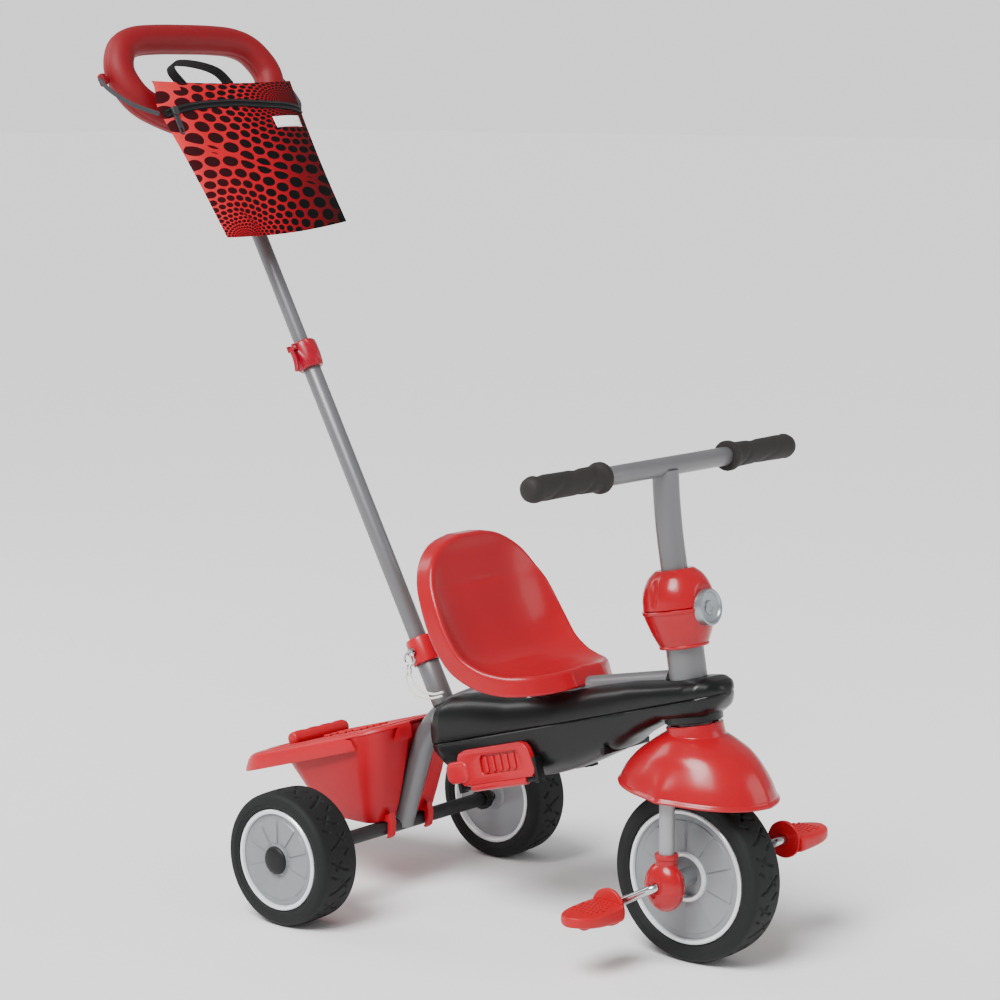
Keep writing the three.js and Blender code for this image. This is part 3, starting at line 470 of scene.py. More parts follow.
def rim_face(size, rim, ring, recess):
    """The outer surface of a wheel disc on the -Y side: (radius, height) from the hub to the bead."""
    return [
        (5.5, -size["hub"]), (9.6, -size["hub"]), (10.2, -size["hub"] + 0.8), (10.8, -recess),
        (ring - 5.4, -recess), (ring - 4.6, -recess - 0.8), (ring - 4.2, -size["half"] + 1.4),
        (ring - 3.4, -size["half"] + 0.6), (ring - 0.6, -size["half"] + 0.6), (ring, -size["half"] + 1.4),
        (ring + 0.7, -size["web"] - 0.4), (ring + 1.6, -size["web"]),
    ] + [(r, -size["web"]) for r in np.linspace(ring + 3, rim - 13, 8)] + [
        (rim - 12, -size["web"] + 0.5), (rim - 6.4, -size["web"] + 0.5), (rim - 5.6, -size["web"] - 0.6),
        (rim - 4.6, -size["half"] + 1.4), (rim - 1.4, -size["half"] + 0.8), (rim, -size["half"] + 2),
        (rim, -size["half"] + 7),
    ]


def sector_ripple(ring, rim, sectors, height):
    """Fan sectors: each one slopes gently and stands a step above its neighbour."""
    def ripple(angle, r, h):
        if not ring + 1 < r < rim - 11.2 or h > 0:
            return 0, 0
        part = (angle / (2 * math.pi) * sectors) % 1
        step = (part if part < 0.97 else (1 - part) / 0.03 * 0.97) * height
        edge = min(1, (r - ring - 1) / 3, (rim - 11 - r) / 2.5)
        return 0, -step * max(0, edge)
    return ripple


def wheel_disc(name, size, rim, ring, recess, sectors, place, body, hide, back):
    """One face of a wheel, with a bright lip at its bead and round its hub."""
    face = rim_face(size, rim, ring, recess)
    profile = face + back
    verts, faces = turned(profile, 360, sector_ripple(ring, rim, sectors, size["step"]))
    count = len(profile)
    picks = []
    for index in range(len(faces)):
        r = profile[index % count][0]
        picks.append(1 if r > rim - 6.2 or (ring > 20 and ring - 5 < r < ring + 0.5) else 0)
    return put(name, verts, faces, ["rim_grey", "rim_lip"], body, place, hide, 32, picks)


def wheels():
    """The front wheel's two halves and the two rear wheels, each with its tyre."""
    size = {"half": 27, "hub": 37, "web": 22.5, "step": 2.0}
    back = [(79, -0.3), (68, -0.3), (60, -10), (14, -10), (14, -0.3), (5.5, -0.3)]
    for side, sign in SIDES:
        wheel_disc(f"front_disc_{side}", size, 79, 28.5, 15, 10, FRONT @ facing(sign), "front_wheel",
                   [f"front_rim_{side}"], back)
    put("front_tread", *tyre(FRONT_RADIUS, 27, 79, 11, 704), "tread_black", "front_wheel", FRONT,
        ["front_tyre"])
    size = {"half": 30, "hub": 24, "web": 25.4, "step": 1.9}
    back = [(61.5, 27), (60.6, 28), (57.6, 28), (56.6, 27), (55, 21.5), (18.5, 21.5), (17, 22.5),
            (15, 23.6), (5.5, 23.6)]
    for side, sign in SIDES:
        place = Matrix.Translation((0, sign * REAR_Y, REAR_RADIUS)) @ facing(sign)
        body = f"rear_wheel_{side}"
        wheel_disc(f"rear_disc_{side}", size, 61.5, 17.5, 21.5, 10, place, body, [f"rear_rim_{side}"], back)
        put(f"rear_tread_{side}", *tyre(REAR_RADIUS, 30, 61.5, 9, 560), "tread_black", body, place,
            [f"rear_tyre_{side}"])


def axle_parts():
    """The rear axle's tube and rod, its toothed collars and the wheel caps."""
    put("axle_beam", *rod((0, -150, REAR_RADIUS), (0, 150, REAR_RADIUS), 9, 40), "leg_grey", "frame",
        hide=["rear_axle_tube"])
    put("axle_bar", *rod((0, -223.5, REAR_RADIUS), (0, 223.5, REAR_RADIUS), 4.9, 24), "steel", "frame",
        hide=["rear_axle_rod"])

    def teeth(angle, r, h):
        return (0.9 if r > 12 and (angle * 8 / math.pi) % 1 > 0.5 else 0, 0)
    for side, sign in SIDES:
        place = Matrix.Translation((0, sign * 158.5, REAR_RADIUS)) @ facing(-sign)
        collar = [(5.5, -8), (12.6, -8), (13.2, -7.4), (13.2, 1), (12.4, 2.4), (10.8, 7), (10.2, 7.4),
                  (5.5, 7.4)]
        put(f"axle_collar_{side}", *turned(collar, 96, teeth), "cap_black", "frame", place,
            [f"axle_bush_{side}"])
        place = Matrix.Translation((0, sign * REAR_Y, REAR_RADIUS)) @ facing(sign)
        cap = [(0, -33.8), (8, -33.7), (13, -33), (16.2, -31.6), (17.3, -29.9), (17.3, -29.2),
               (12.8, -29.2), (12.8, -25.6), (6, -25.6), (6, -27), (0, -27)]
        put(f"wheel_cap_{side}", *turned(cap, 64), "cap_black", "frame", place, [f"hub_cap_{side}"])


# ---- frame -------------------------------------------------------------------
def spine_line():
    """The middle line of the bent frame tube, from the head down to the rear axle."""
    return bent([(421, 0, 322), (118, 0, 262), (46, 0, 221), (0, 0, REAR_RADIUS)], 42, 14)


def frame_tubes():
    """The bent spine, pole socket, head tube and its bushings, and the seat's saddle."""
    line = spine_line()
    put("spine", *tube(line, 14, 40, (0, 1, 0)), "frame_grey", "frame", hide=["main_frame"])
    socket = rod(POLE @ Vector((0, 0, -60)), POLE @ Vector((0, 0, 0)), 14.2, 40)
    put("pole_socket", *socket, "frame_grey", "frame")
    head = [(19.6, -53), (21.4, -53), (22, -52.4), (22, 33.4), (21.4, 34), (19.6, 34)]
    put("head", *turned_z(head, 64), "frame_grey", "frame", STEER, ["head_tube"])
    bushing = [(13.3, 0), (23.4, 0), (24, 0.6), (24, 2.4), (23.4, 3), (19.2, 3), (19.2, 16), (13.3, 16)]
    put("bushing_low", *turned_z(bushing, 64), "cap_black", "frame",
        STEER @ Matrix.Translation((0, 0, -56.3)), ["head_bushing_lower"])
    flip = Matrix.Translation((0, 0, 37.3)) @ Matrix.Rotation(math.pi, 4, "X")
    put("bushing_high", *turned_z(bushing, 64), "cap_black", "frame", STEER @ flip, ["head_bushing_upper"])
    saddle = swept([(222, 0, 282.6), (244, 0, 287)], lambda i, n: [
        (17 * math.cos(a), 17 * math.sin(a)) for a in np.linspace(-0.2, math.pi + 0.2, 20)
    ] + [(14.6 * math.cos(a), 14.6 * math.sin(a)) for a in np.linspace(math.pi + 0.2, -0.2, 20)])
    ears = [moved(plate(rounded_box((-11, 11), (17, 27), 4), 278.6, 281.4, 0.5),
                  Matrix.Translation((233, 0, 0)) @ Matrix.Rotation(math.radians(90), 4, "X")
                  @ Matrix.Scale(sign, 4, (0, 0, 1))) for sign in (-1, 1)]
    put("seat_saddle", *merge(saddle, *ears), "steel", "frame", hide=["seat_bracket"])
    for side, sign in SIDES:
        y = sign * 22.5
        bolt = merge(rod((233, y, 275), (233, y, 303), 2.8, 16), rod((233, y, 274), (233, y, 278.2), 5, 6))
        put(f"seat_screw_{side}", *bolt, "steel", "frame", hide=[f"seat_bolt_{side}"])


# ---- body covers -------------------------------------------------------------
TOP = [(76, 230), (79, 244), (88, 256), (106, 265), (137, 271), (197, 277), (282, 294), (326, 307),
       (380, 320), (429, 328), (461, 334), (478, 336.5), (490, 334), (497, 329), (500, 318)]
BOTTOM = [(76, 222), (79, 202), (88, 184), (104, 173), (134, 170), (190, 172), (230, 181), (263, 190),
          (299, 204), (330, 220), (359, 236), (375, 250), (400, 266), (426, 280), (450, 283), (478, 291),
          (490, 300), (497, 310), (500, 317)]
WIDE = [(76, 20), (77.5, 30), (81, 38), (88, 43.5), (100, 46.4), (150, 47), (300, 46.5), (400, 43),
        (440, 42), (462, 41), (476, 36.5), (488, 27), (496, 15), (500, 4)]


def read_line(line, x):
    """The height of a line of (x, height) points at x."""
    return float(np.interp(x, [p[0] for p in line], [p[1] for p in line]))


def cover_row(x, sign):
    """One cross-section of the upper (1) or lower (-1) cover."""
    high, low = read_line(TOP, x), read_line(BOTTOM, x)
    wide = read_line(WIDE, x)
    middle, tall = (high + low) / 2, (high - low) / 2
    seam = min(max(205 + (x - 93) * 0.2864, low + 1), high - 1)
    limit = high if sign > 0 else low
    levels = seam + (limit - seam) * np.array(
        [0.0, 0.012, 0.03, 0.06, 0.15, 0.28, 0.42, 0.56, 0.68, 0.78, 0.86, 0.92, 0.96, 0.985, 1.0])
    half = []
    for z in levels:
        away = min(1, abs(z - middle) / tall)
        power = 3.2
        full = wide * (1 - away ** power) ** (1 / power)
        near = abs(z - seam)
        half.append(max(0.4, full - 1.5 * bell(near, 1.1)))
    z0 = levels.copy()
    z0[0] += 0.15 * sign
    flat_steps = [-0.66, -0.33, 0, 0.33, 0.66]
    left = [(x, y, z) for y, z in zip(half, z0)]
    cap = [(x, -half[-1] * t, z0[-1]) for t in flat_steps]
    right = [(x, -y, z) for y, z in zip(half[::-1], z0[::-1])]
    base = [(x, half[0] * t, z0[0]) for t in flat_steps]
    return left + cap + right + base


def covers():
    """The two black shells that close round the spine, with a collar under the head."""
    stations = sorted({*np.linspace(76, 104, 20), *np.linspace(104, 462, 72), *np.linspace(462, 500, 20)})
    for name, sign in (("upper_cover", 1), ("lower_cover", -1)):
        rings = [cover_row(x, sign) for x in stations]
        put(name + "_skin", *skin_rings(rings), "cover_black", "frame", hide=[name], sharp=30)
    collar = [(25, -55), (33, -55.5), (34, -54.6), (35, -34), (25, -34)]
    put("neck_collar", *turned_z(collar, 80), "cover_black", "frame", STEER)
    rib = moved(plate(rounded_box((-3, 3), (-4, 4), 2.6), -44, 44, 1), Matrix.Translation((352, 0, 236)))
    put("cover_foot", *rib, "cap_black", "frame")


# ---- seat --------------------------------------------------------------------
SEAT = [(117, 461, 20, 0), (118, 456, 44, 0), (120, 446, 66, 1), (124, 432, 82, 4), (130, 412, 94, 8),
        (138, 391, 102, 13), (148, 367, 106, 16), (161, 343, 107, 18), (180, 322, 105, 17),
        (208, 311, 99, 13), (236, 310, 90, 8), (256, 313, 79, 5), (270, 316, 65, 3), (280, 319, 47, 1),
        (287, 322, 27, 0)]


def seat():
    """A scooped shell from the top of the back to the front lip, with a turned-down flange."""
    rows = eased(SEAT, 6)
    across = 48
    grid, normals = [], []
    for i, row in enumerate(rows):
        a, b = rows[max(i - 1, 0)], rows[min(i + 1, len(rows) - 1)]
        along = Vector((b[0] - a[0], 0, b[1] - a[1])).normalized()
        normal = Vector((-along.z, 0, along.x))
        line = []
        spot = i / (len(rows) - 1)
        crease = 1.1 * bell(spot - 0.30, 0.012)
        for j in range(across + 1):
            t = j / across * 2 - 1
            rise = row[3] * t ** 4 + 1.2 * bell(t, 0.35) * (1 if spot > 0.6 else 0)
            rise -= crease * max(0, 1 - abs(t) * 1.15)
            line.append(Vector((row[0], row[2] * t, row[1])) + normal * rise)
        grid.append(line)
        normals.append(normal)
    edge = [(grid[0][j], normals[0]) for j in range(across + 1)]
    edge += [(grid[i][across], normals[i]) for i in range(1, len(grid))]
    edge += [(grid[-1][j], normals[-1]) for j in range(across - 1, -1, -1)]
    edge += [(grid[i][0], normals[i]) for i in range(len(grid) - 2, 0, -1)]
    verts = [p for line in grid for p in line]
    width = across + 1
    faces = [(i * width + j, i * width + j + 1, (i + 1) * width + j + 1, (i + 1) * width + j)
             for i in range(len(grid) - 1) for j in range(across)]
    keys = list(range(width)) + [i * width + across for i in range(1, len(grid))]
    keys += [(len(grid) - 1) * width + j for j in range(across - 1, -1, -1)]
    keys += [i * width for i in range(len(grid) - 2, 0, -1)]
    count = len(edge)
    smooth_out = []
    for k in range(count):
        span = edge[(k + 4) % count][0] - edge[k - 4][0]
        smooth_out.append(edge[k][1].cross(span).normalized() * -1)
    outs = [sum((smooth_out[(k + d) % count] for d in range(-3, 4)), Vector()).normalized()
            for k in range(count)]
    middle = sum((p for p, _ in edge), Vector()) / count
    if (edge[0][0] - middle).dot(outs[0]) < 0:
        outs = [-o for o in outs]
    previous = keys
    for out, down in ((2.2, 0.5), (4.0, 2.0), (5.0, 4.6), (5.4, 9.0), (6.0, 18.0), (7.2, 24.0)):
        base = len(verts)
        verts += [edge[k][0] + outs[k] * out - edge[k][1] * down for k in range(count)]
        ring = [base + k for k in range(count)]
        faces += [(previous[k], previous[(k + 1) % count], ring[(k + 1) % count], ring[k])
                  for k in range(count)]
        previous = ring
    made = put("seat_body", verts, faces, "seat_red", "frame", hide=["seat_shell"], sharp=60)
    thick = made.modifiers.new("wall", "SOLIDIFY")
    thick.thickness = 0.0028
    thick.offset = -1
    soft = made.modifiers.new("soft", "SUBSURF")
    soft.levels = soft.render_levels = 1


# ---- steering ----------------------------------------------------------------
def steering():
    """The stem, bar and fork, and the two moulded grips."""
    low = STEER @ Vector((0, 0, 42))
    kink = STEER @ Vector((0, 0, 182))
    column = tube(bent([low, kink, (BAR_X, 0, BAR_Z - 4)], 40, 14), 15.5, 48, (0, 1, 0))
    cross = rod((BAR_X, -242, BAR_Z), (BAR_X, 242, BAR_Z), 11.1, 48)
    put("bar_and_stem", *merge(column, cross), "frame_grey", "steering", hide=["handlebar"])
    legs = [(FRONT_X, -60, 112), (FRONT_X, -60, 229), (FRONT_X, 60, 229), (FRONT_X, 60, 112)]
    arch = tube(bent(legs, 38, 16), 9, 40, (1, 0, 0))
    steerer = moved(rod((0, 0, -118), (0, 0, 79), 13, 40), STEER)
    race = moved(rod((0, 0, -59.8), (0, 0, -56.8), 20, 48), STEER)
    put("fork_body", *merge(arch, steerer, race), "fork_grey", "steering", hide=["fork"])

    def waves(angle, r, h):
        if r < 12 or not -238 < h < -132:
            return 0, 0
        panel = bell(h + 184, 26) * bell(math.sin(angle / 2 + 0.6), 0.32)
        swirl = math.sin(angle * 2 + h / 7.5 + 1.1 * math.sin(h / 21))
        return -1.3 * max(0, swirl) ** 3 * (1 - min(1, panel * 1.8)), 0
    outer = [(0, -250), (5, -249.8), (9.5, -248.8), (12.8, -246), (14.6, -241)]
    outer += [(15 - 0.8 * math.sin(math.pi * k / 50), -238 + k * 2.15) for k in range(50)]
    outer += [(15.2, -130), (17.4, -127), (18, -124.5), (18, -120), (17.2, -118), (11.4, -118),
              (11.4, -242.4), (0, -242.4)]
    for side, sign in SIDES:
        place = Matrix.Translation((BAR_X, 0, BAR_Z)) @ facing(sign)
        put(f"grip_body_{side}", *turned(outer, 128, waves), "grip_rubber", "steering", place,
            [f"grip_{side}"], 50)


def knob():
    """The two egg-shaped shells round the stem, and the disc on their front."""
    lower = [(25.2, 30.4), (27.6, 30.2), (29.2, 31), (29.4, 33), (28.6, 34)]
    lower += eased([(30, 36.5), (34.5, 47), (39.5, 62), (42.3, 71)], 6)
    lower += [(43.4, 72.2), (43.6, 75), (42.8, 76), (38, 76), (36, 62), (31, 48), (25.2, 39)]
    upper = [(38, 76.4), (41.2, 76.4), (42, 77.4)]
    upper += eased([(41.8, 80), (41, 90), (38, 101), (32, 112), (24.5, 119)], 6)
    upper += [(22, 120.6), (16.2, 120.6), (16.2, 117), (27, 110), (35, 97), (38, 85)]
    facet = 37.2
    for name, profile, node in (("knob_low", lower, "knob_lower_shell"),
                                ("knob_high", upper, "knob_upper_shell")):
        verts, faces = turned_z(profile, 144)
        shaped = []
        for p in verts:
            x = min(p.x, facet + 0.04 * (p.x - facet))
            swing = math.degrees(math.atan2(p.y, p.x))
            slot = bell(swing + 96, 5.5, 4) * bell(p.z - 97, 13, 6)
            factor = 1 - 0.075 * slot if name == "knob_high" else 1
            shaped.append(Vector((x * factor, p.y * factor, p.z)))
        put(name, shaped, faces, "gloss_red", "steering", STEER, [node], 28)
    disc = [(0, 0), (13, 0.3), (16.6, 0.9), (17.4, 2.6), (18.6, 3.6), (20, 3.7), (21, 2.8), (21.2, 0),
            (21.2, -7), (0, -7)]
    boss = [(0, 0), (8, 0), (8, 0.9), (7.2, 1.6), (5.6, 1.6), (4.8, 0.8), (0, 0.8)]
    turn = Matrix.Translation((42.4, 0, 74)) @ Matrix.Rotation(math.radians(-90), 4, "Z")
    shape = moved(merge(turned(disc, 96), turned(boss, 64)), turn)
    put("badge_disc", *shape, "badge_silver", "steering", STEER, ["knob_badge"], 30)


def mudguard():
    """A domed guard with a rolled lower edge and a ridge over each leg of the fork."""
    rows = eased([(203, 98.4, 75.2), (209, 96.5, 73.6), (221, 90.5, 69.3), (236, 79, 62), (247, 67, 56),
                  (256, 54, 48), (263, 42.5, 40.5), (267, 35, 35), (269, 34, 34)], 5)
    bead = [(200.5, 96.2, 73.2), (199.5, 98.0, 75.0), (199.9, 100.2, 77.2), (202.1, 100.8, 77.6),
            (203.9, 99.4, 76.2)]

    def ring(z, long, wide, bump=True):
        out = []
        for k in range(144):
            a = 2 * math.pi * k / 144
            lean = (z - 250) * -0.1763 if z > 250 else 0
            x, y = long * math.cos(a), wide * math.sin(a)
            tilt = max(0, min(1, (252 - z) / 40)) * 0.05
            near = bell(x, 13) * max(0, min(1, (238 - z) / 24)) if bump else 0
            crease = 1 + 0.012 * bell(math.sin(a), 0.09) * (math.cos(a) > 0)
            out.append((FRONT_X + lean + x * crease, y + math.copysign(5.0 * near, y), z - tilt * x))
        return out
    outer = [ring(*r) for r in bead + rows[2:]]
    inner = [ring(z - 3, long - 3.2, wide - 3.2, False) for z, long, wide in rows[::-1]]
    neck = [(28, -74), (35, -74), (34, -69), (33.6, -64), (33.4, -59), (32.8, -58.3), (28.6, -58.3),
            (28, -59)]
    dome = skin_rings(outer + inner, closed=True)
    put("mudguard_skin", *merge(dome, moved(turned_z(neck, 96), STEER)), "gloss_red", "steering",
        hide=["mudguard"])


def hub_covers():
    """An egg-shaped cover at the foot of each fork leg."""
    for side, sign in SIDES:
        rings = []
        for k in range(1, 48):
            a = math.pi * k / 48 - math.pi / 2
            z = 99.5 + 29.5 * math.sin(a)
            reach = math.cos(a) * (1 + 0.035 * bell(z - 94, 1.0) - 0.02 * bell(z - 92.4, 0.5))
            ring = []
            for i in range(64):
                b = 2 * math.pi * i / 64
                slot = bell(math.degrees(b) - 150, 13, 4) * bell(z - 108, 9, 4)
                grow = reach * (1 - 0.09 * slot)
                y = sign * (63.2 - 17.3 * grow * math.sin(b))
                ring.append((FRONT_X + 26 * grow * math.cos(b), y, z))
            rings.append(ring)
        egg = skin_rings(rings)
        neck = [(9.4, 116), (12.6, 116), (12.8, 131), (13.8, 132), (13.8, 136.4), (13, 137.2), (9.4, 137.2)]
        collar = moved(turned_z(neck, 64), Matrix.Translation((FRONT_X, sign * 60, 0)))
        eye = [(5.4, -17.5), (8.2, -17.5), (8.8, -16.8), (10.5, -10), (5.4, -10)]
        hub_side = Matrix.Translation((FRONT_X, sign * 63.2, FRONT_RADIUS)) @ facing(sign)
        boss = moved(turned(eye, 48), hub_side)
        put(f"hub_cover_{side}", *merge(egg, collar, boss), "gloss_red", "steering",
            hide=[f"hub_cover_upper_{side}", f"hub_cover_lower_{side}"], sharp=34)


# ---- crank and pedals --------------------------------------------------------
def pedal_place(sign):
    """The middle of a pedal's spindle: -1 is the right one and 1 the left one."""
    return Vector((FRONT_X + sign * CRANK_REACH * math.cos(CRANK_TILT), 0,
                   FRONT_RADIUS + sign * CRANK_REACH * math.sin(CRANK_TILT)))


def crank_and_pedals():
    """The cranked axle, and pedals with a round guard and rows of studs."""
    right, left = pedal_place(-1), pedal_place(1)
    line = bent([(right.x, -157.5, right.z), (right.x, -86, right.z), (FRONT_X, -86, FRONT_RADIUS),
                 (FRONT_X, 86, FRONT_RADIUS), (left.x, 86, left.z), (left.x, 157.5, left.z)], 9, 10)
    put("crank", *tube(line, 5, 24, (1, 0.2, 0.4)), "steel", "front_wheel", hide=["crank_axle"])
    for side, sign in SIDES:
        rings = []
        for k in range(29):
            t = k / 28
            y = -98 - 74 * (1 - (1 - t) ** 1.35)
            reach = (y + 98) / -74
            wide = 26 * (1 - max(0, (reach - 0.4) / 0.6) ** 2.6) ** 0.5 if reach < 1 else 1.5
            wide = max(wide, 2.0)
            high = 8 - 3.5 * reach ** 2
            low = -14 + 7 * reach ** 2.2
            end = 1 if 0 < k < 28 else 0.94
            middle, tall = (high + low) / 2, (high - low) / 2
            ring = []
            for i in range(48):
                a = 2 * math.pi * i / 48
                x = math.copysign(abs(math.cos(a)) ** 0.5, math.cos(a)) * wide * end
                z = middle + math.copysign(abs(math.sin(a)) ** 0.5, math.sin(a)) * tall * end
                ring.append((x, y, z))
            rings.append(ring)
        body = skin_rings(rings)
        guard = [(5.6, -95.6), (18.6, -95.6), (19.4, -95.2), (21.4, -95.2), (22, -95.8), (22, -99.4),
                 (21.4, -100), (5.6, -100)]
        lobe = rod((0, -99, -7), (0, -148, -8), 9.5, 32, 4)
        studs = []
        for row in range(6):
            for col in range(-3, 4):
                x, y = col * 5.4 + (row % 2) * 2.7, -108 - row * 8
                if (x / 20) ** 2 + ((y + 129) / 34) ** 2 < 1:
                    top = 8 - 3.5 * ((y + 98) / -74) ** 2
                    studs.append(rod((x, y, top - 1), (x, y, top + 1.1), 1.9, 10, 0.8))
        place = Matrix.Translation(pedal_place(sign)) @ facing(sign)
        put(f"pedal_body_{side}", *merge(body, turned(guard, 64), lobe, *studs), "pedal_red",
            f"{side}_pedal", place, [f"pedal_{side}"], 40)


# ---- bucket ------------------------------------------------------------------
def lid_top(x):
    """The height of the bucket's lid, which falls toward the back."""
    return 212 + 0.295 * x


def round_ring(low, high, half, corner, height, squeeze=1.0, steps=10):
    """A ring with round corners between two X values, at a height that follows X."""
    ring = []
    corners = ((high - corner, half * squeeze - corner, 0), (low + corner, half - corner, 1),
               (low + corner, -half + corner, 2), (high - corner, -half * squeeze + corner, 3))
    for x, y, quarter in corners:
        for k in range(steps + 1):
            a = (quarter + k / steps) * math.pi / 2
            px = x + corner * math.cos(a)
            ring.append((px, y + corner * math.sin(a), height(px)))
    return ring


def bucket_skin(inset, low, extra):
    """The bucket's outer or inner surface, from its floor up to its brim."""
    return skin_rings([
        round_ring(-82 + inset, 1.5 - inset, 60 - inset, 14, lambda x: low),
        round_ring(-84.5 + inset, 4 - inset, 62 - inset, 16, lambda x: low + 2.5),
        round_ring(-98 + inset, 11 - inset, 67 - inset, 21, lambda x: 117 + 0.07 * x),
        round_ring(-112 + inset, 17 - inset, 73 - inset, 26, lambda x: 140 + 0.15 * x),
        round_ring(-130 + inset, 24 - inset, 79 - inset, 30,
                   lambda x: (140 + 0.15 * x + lid_top(x) - 5) / 2),
        round_ring(-146 + inset, 30 - inset, 84 - inset, 34, lambda x: lid_top(x) - 5 + extra),
    ])


def leg_room(room):
    """A block round the frame's leaning leg, for cutting a notch."""
    width = 14 + room
    lean = math.atan2(46, 139)
    place = Matrix.Translation((0, 0, 82)) @ Matrix.Rotation(lean, 4, "Y")
    return moved(block((-width, -width, -30), (140, width, 240)), place)


def bucket():
    """The open bucket, notched round the leg and hooked over the axle."""
    floor = 91.7
    body = put("bucket_shell", *bucket_skin(0, floor, 0), "bucket_red", "bucket", hide=["bucket_body"])
    inner = put("bucket_hollow", *bucket_skin(3, floor + 3, 4), "bucket_red", "bucket")
    cut(inner, leg_room(7))
    world = [(ROW.inverted() @ inner.matrix_world @ v.co) for v in inner.data.vertices]
    hollow = (world, [tuple(p.vertices) for p in inner.data.polygons])
    bpy.data.objects.remove(inner)
    cut(body, leg_room(4))
    cut(body, hollow)
    hooks = []
    for y in (-35, 35):
        outline = [(9.8, 91.8), (9.8, 76), (7.5, 72), (11, 71), (15.5, 75), (17, 92), (14, 104), (5, 100),
                   (-4, 96), (-5, 91.8)]
        hooks.append(plate(outline, y - 5, y + 5, 1))
    put("bucket_hooks", *merge(*hooks), "bucket_red", "bucket")
    rib = plate([(-2, 93), (4, 94), (17, 120), (32, 165), (36, 190), (26, 194), (12, 140)], 19, 23, 1)
    put("bucket_rib", *rib, "bucket_red", "bucket")


def lid():
    """The bucket's lid: a rolled rim, a raised panel, a grip and rows of pads."""
    def rows(inset, drop):
        spec = ((-214, 34, 94, 52, -22 - drop), (-214.4, 34.2, 94.2, 52, -19), (-211, 33.4, 92.6, 51, -8),
                (-207.5, 32.4, 91, 50, -3.4), (-203, 31, 88.5, 48, -0.9), (-197, 29, 85, 46, 0))
        return [round_ring(a + inset, b - inset, c - inset, d - inset / 2,
                           lambda x, h=h: lid_top(x) + h - inset * (h > -4), 0.94)
                for a, b, c, d, h in spec]
    body = put("lid_shell", *skin_rings(rows(0, 0)), "bucket_red", "bucket_cover", hide=["bucket_lid"])
    cut(body, skin_rings(rows(3, 7)))
    cut(body, skin_rings([
        round_ring(-148, 32, 86, 36, lambda x: lid_top(x) - 60),
        round_ring(-148, 32, 86, 36, lambda x: lid_top(x) - 4.5),
    ]))
    cut(body, leg_room(6.5))
    panel = skin_rings([
        round_ring(-188, 8, 74, 38, lambda x: lid_top(x) - 1, 0.94),
        round_ring(-187, 7, 73, 37, lambda x: lid_top(x) + 0.9, 0.94),
        round_ring(-185.5, 5.5, 71.5, 36, lambda x: lid_top(x) + 1.5, 0.94),
        round_ring(-176, -4, 62, 30, lambda x: lid_top(x) + 1.6, 0.94),
        round_ring(-174.5, -5.5, 60.5, 29, lambda x: lid_top(x) + 0.3, 0.94),
    ])
    raised = put("lid_panel", *panel, "bucket_red", "bucket_cover")
    cut(raised, leg_room(4.5))
    z = lid_top(-145) + 7
    bar = rod((-145, -50, z), (-145, 50, z), 8.6, 32, 3.5)
    slots = [rod((-145, y, z + 4.5), (-145, y + 17, z + 4.5), 4.9, 16, 2) for y in (-44, -20, 4, 28)]
    put("lid_grip", *merge(bar, *slots), "bucket_red", "bucket_cover", sharp=50)
    pads = [moved(rod((-60 - 26 * k, y, 0.6), (-48 - 26 * k, y, 0.6), 2.2, 14, 1),
                  Matrix(((1, 0, 0, 0), (0, 1, 0, 0), (0.295, 0, 1, 212.6), (0, 0, 0, 1))))
            for k in range(3) for y in (-24, -12, 0, 12, 24)]
    put("lid_ribs", *merge(*pads), "bucket_red", "bucket_cover")


# ---- footrests ---------------------------------------------------------------
def footrests():
    """The two folding footrests on their pins, and the lugs that carry them."""
    outline = [(-57, 2), (-54, -1), (54, -1), (60, 3), (62, 9), (56, 34), (51, 40), (44, 42), (-44, 42),
               (-54, 39), (-58, 33), (-58, 20)]
    window = rounded_box((-22, 40), (9, 33), 6)
    for side, sign in SIDES:
        base = plate(outline, 48.4, 53.4, 1.2)
        frame_plate = plate(outline, 52.4, 57.4, 1.6, [window])
        ribs = [plate(rounded_box((x, x + 5.4), (11, 31), 2.6), 52, 55.8, 1.1)
                for x in (-17, -6, 5, 16, 27)]
        end = plate(rounded_box((-78, -42), (3, 30), 10), 46.6, 60, 4)
        knuckle = rod((-44, 52.8, -4.6), (44, 52.8, -4.6), 5, 24)
        shape = merge(base, frame_plate, *ribs, end, knuckle)
        flip = Matrix.Scale(sign, 4, (0, 1, 0))
        put(f"footrest_body_{side}", *moved(shape, flip), "latch_red", f"{side}_footrest", FOOT,
            [f"footrest_{side}"], 45)
        pin = rod((-66, sign * 52.8, -4.6), (66, sign * 52.8, -4.6), 2.5, 16)
        put(f"footrest_axle_{side}", *pin, "cap_black", "frame", FOOT, [f"footrest_pin_{side}"])
        teeth = [plate([(x, -9), (x + 5, -9), (x + 6, 2), (x - 1, 2)], 44, 50.5, 0.8)
                 for x in (-32, -18, -4, 10, 24, 38, 52)]
        lugs = [plate([(x, -9), (x + 5, -9), (x + 5, 22), (x, 22)], 44, 57, 1) for x in (-64.5, 59.5)]
        put(f"footrest_lugs_{side}", *moved(merge(*teeth, *lugs), flip), "cap_black", "frame", FOOT)


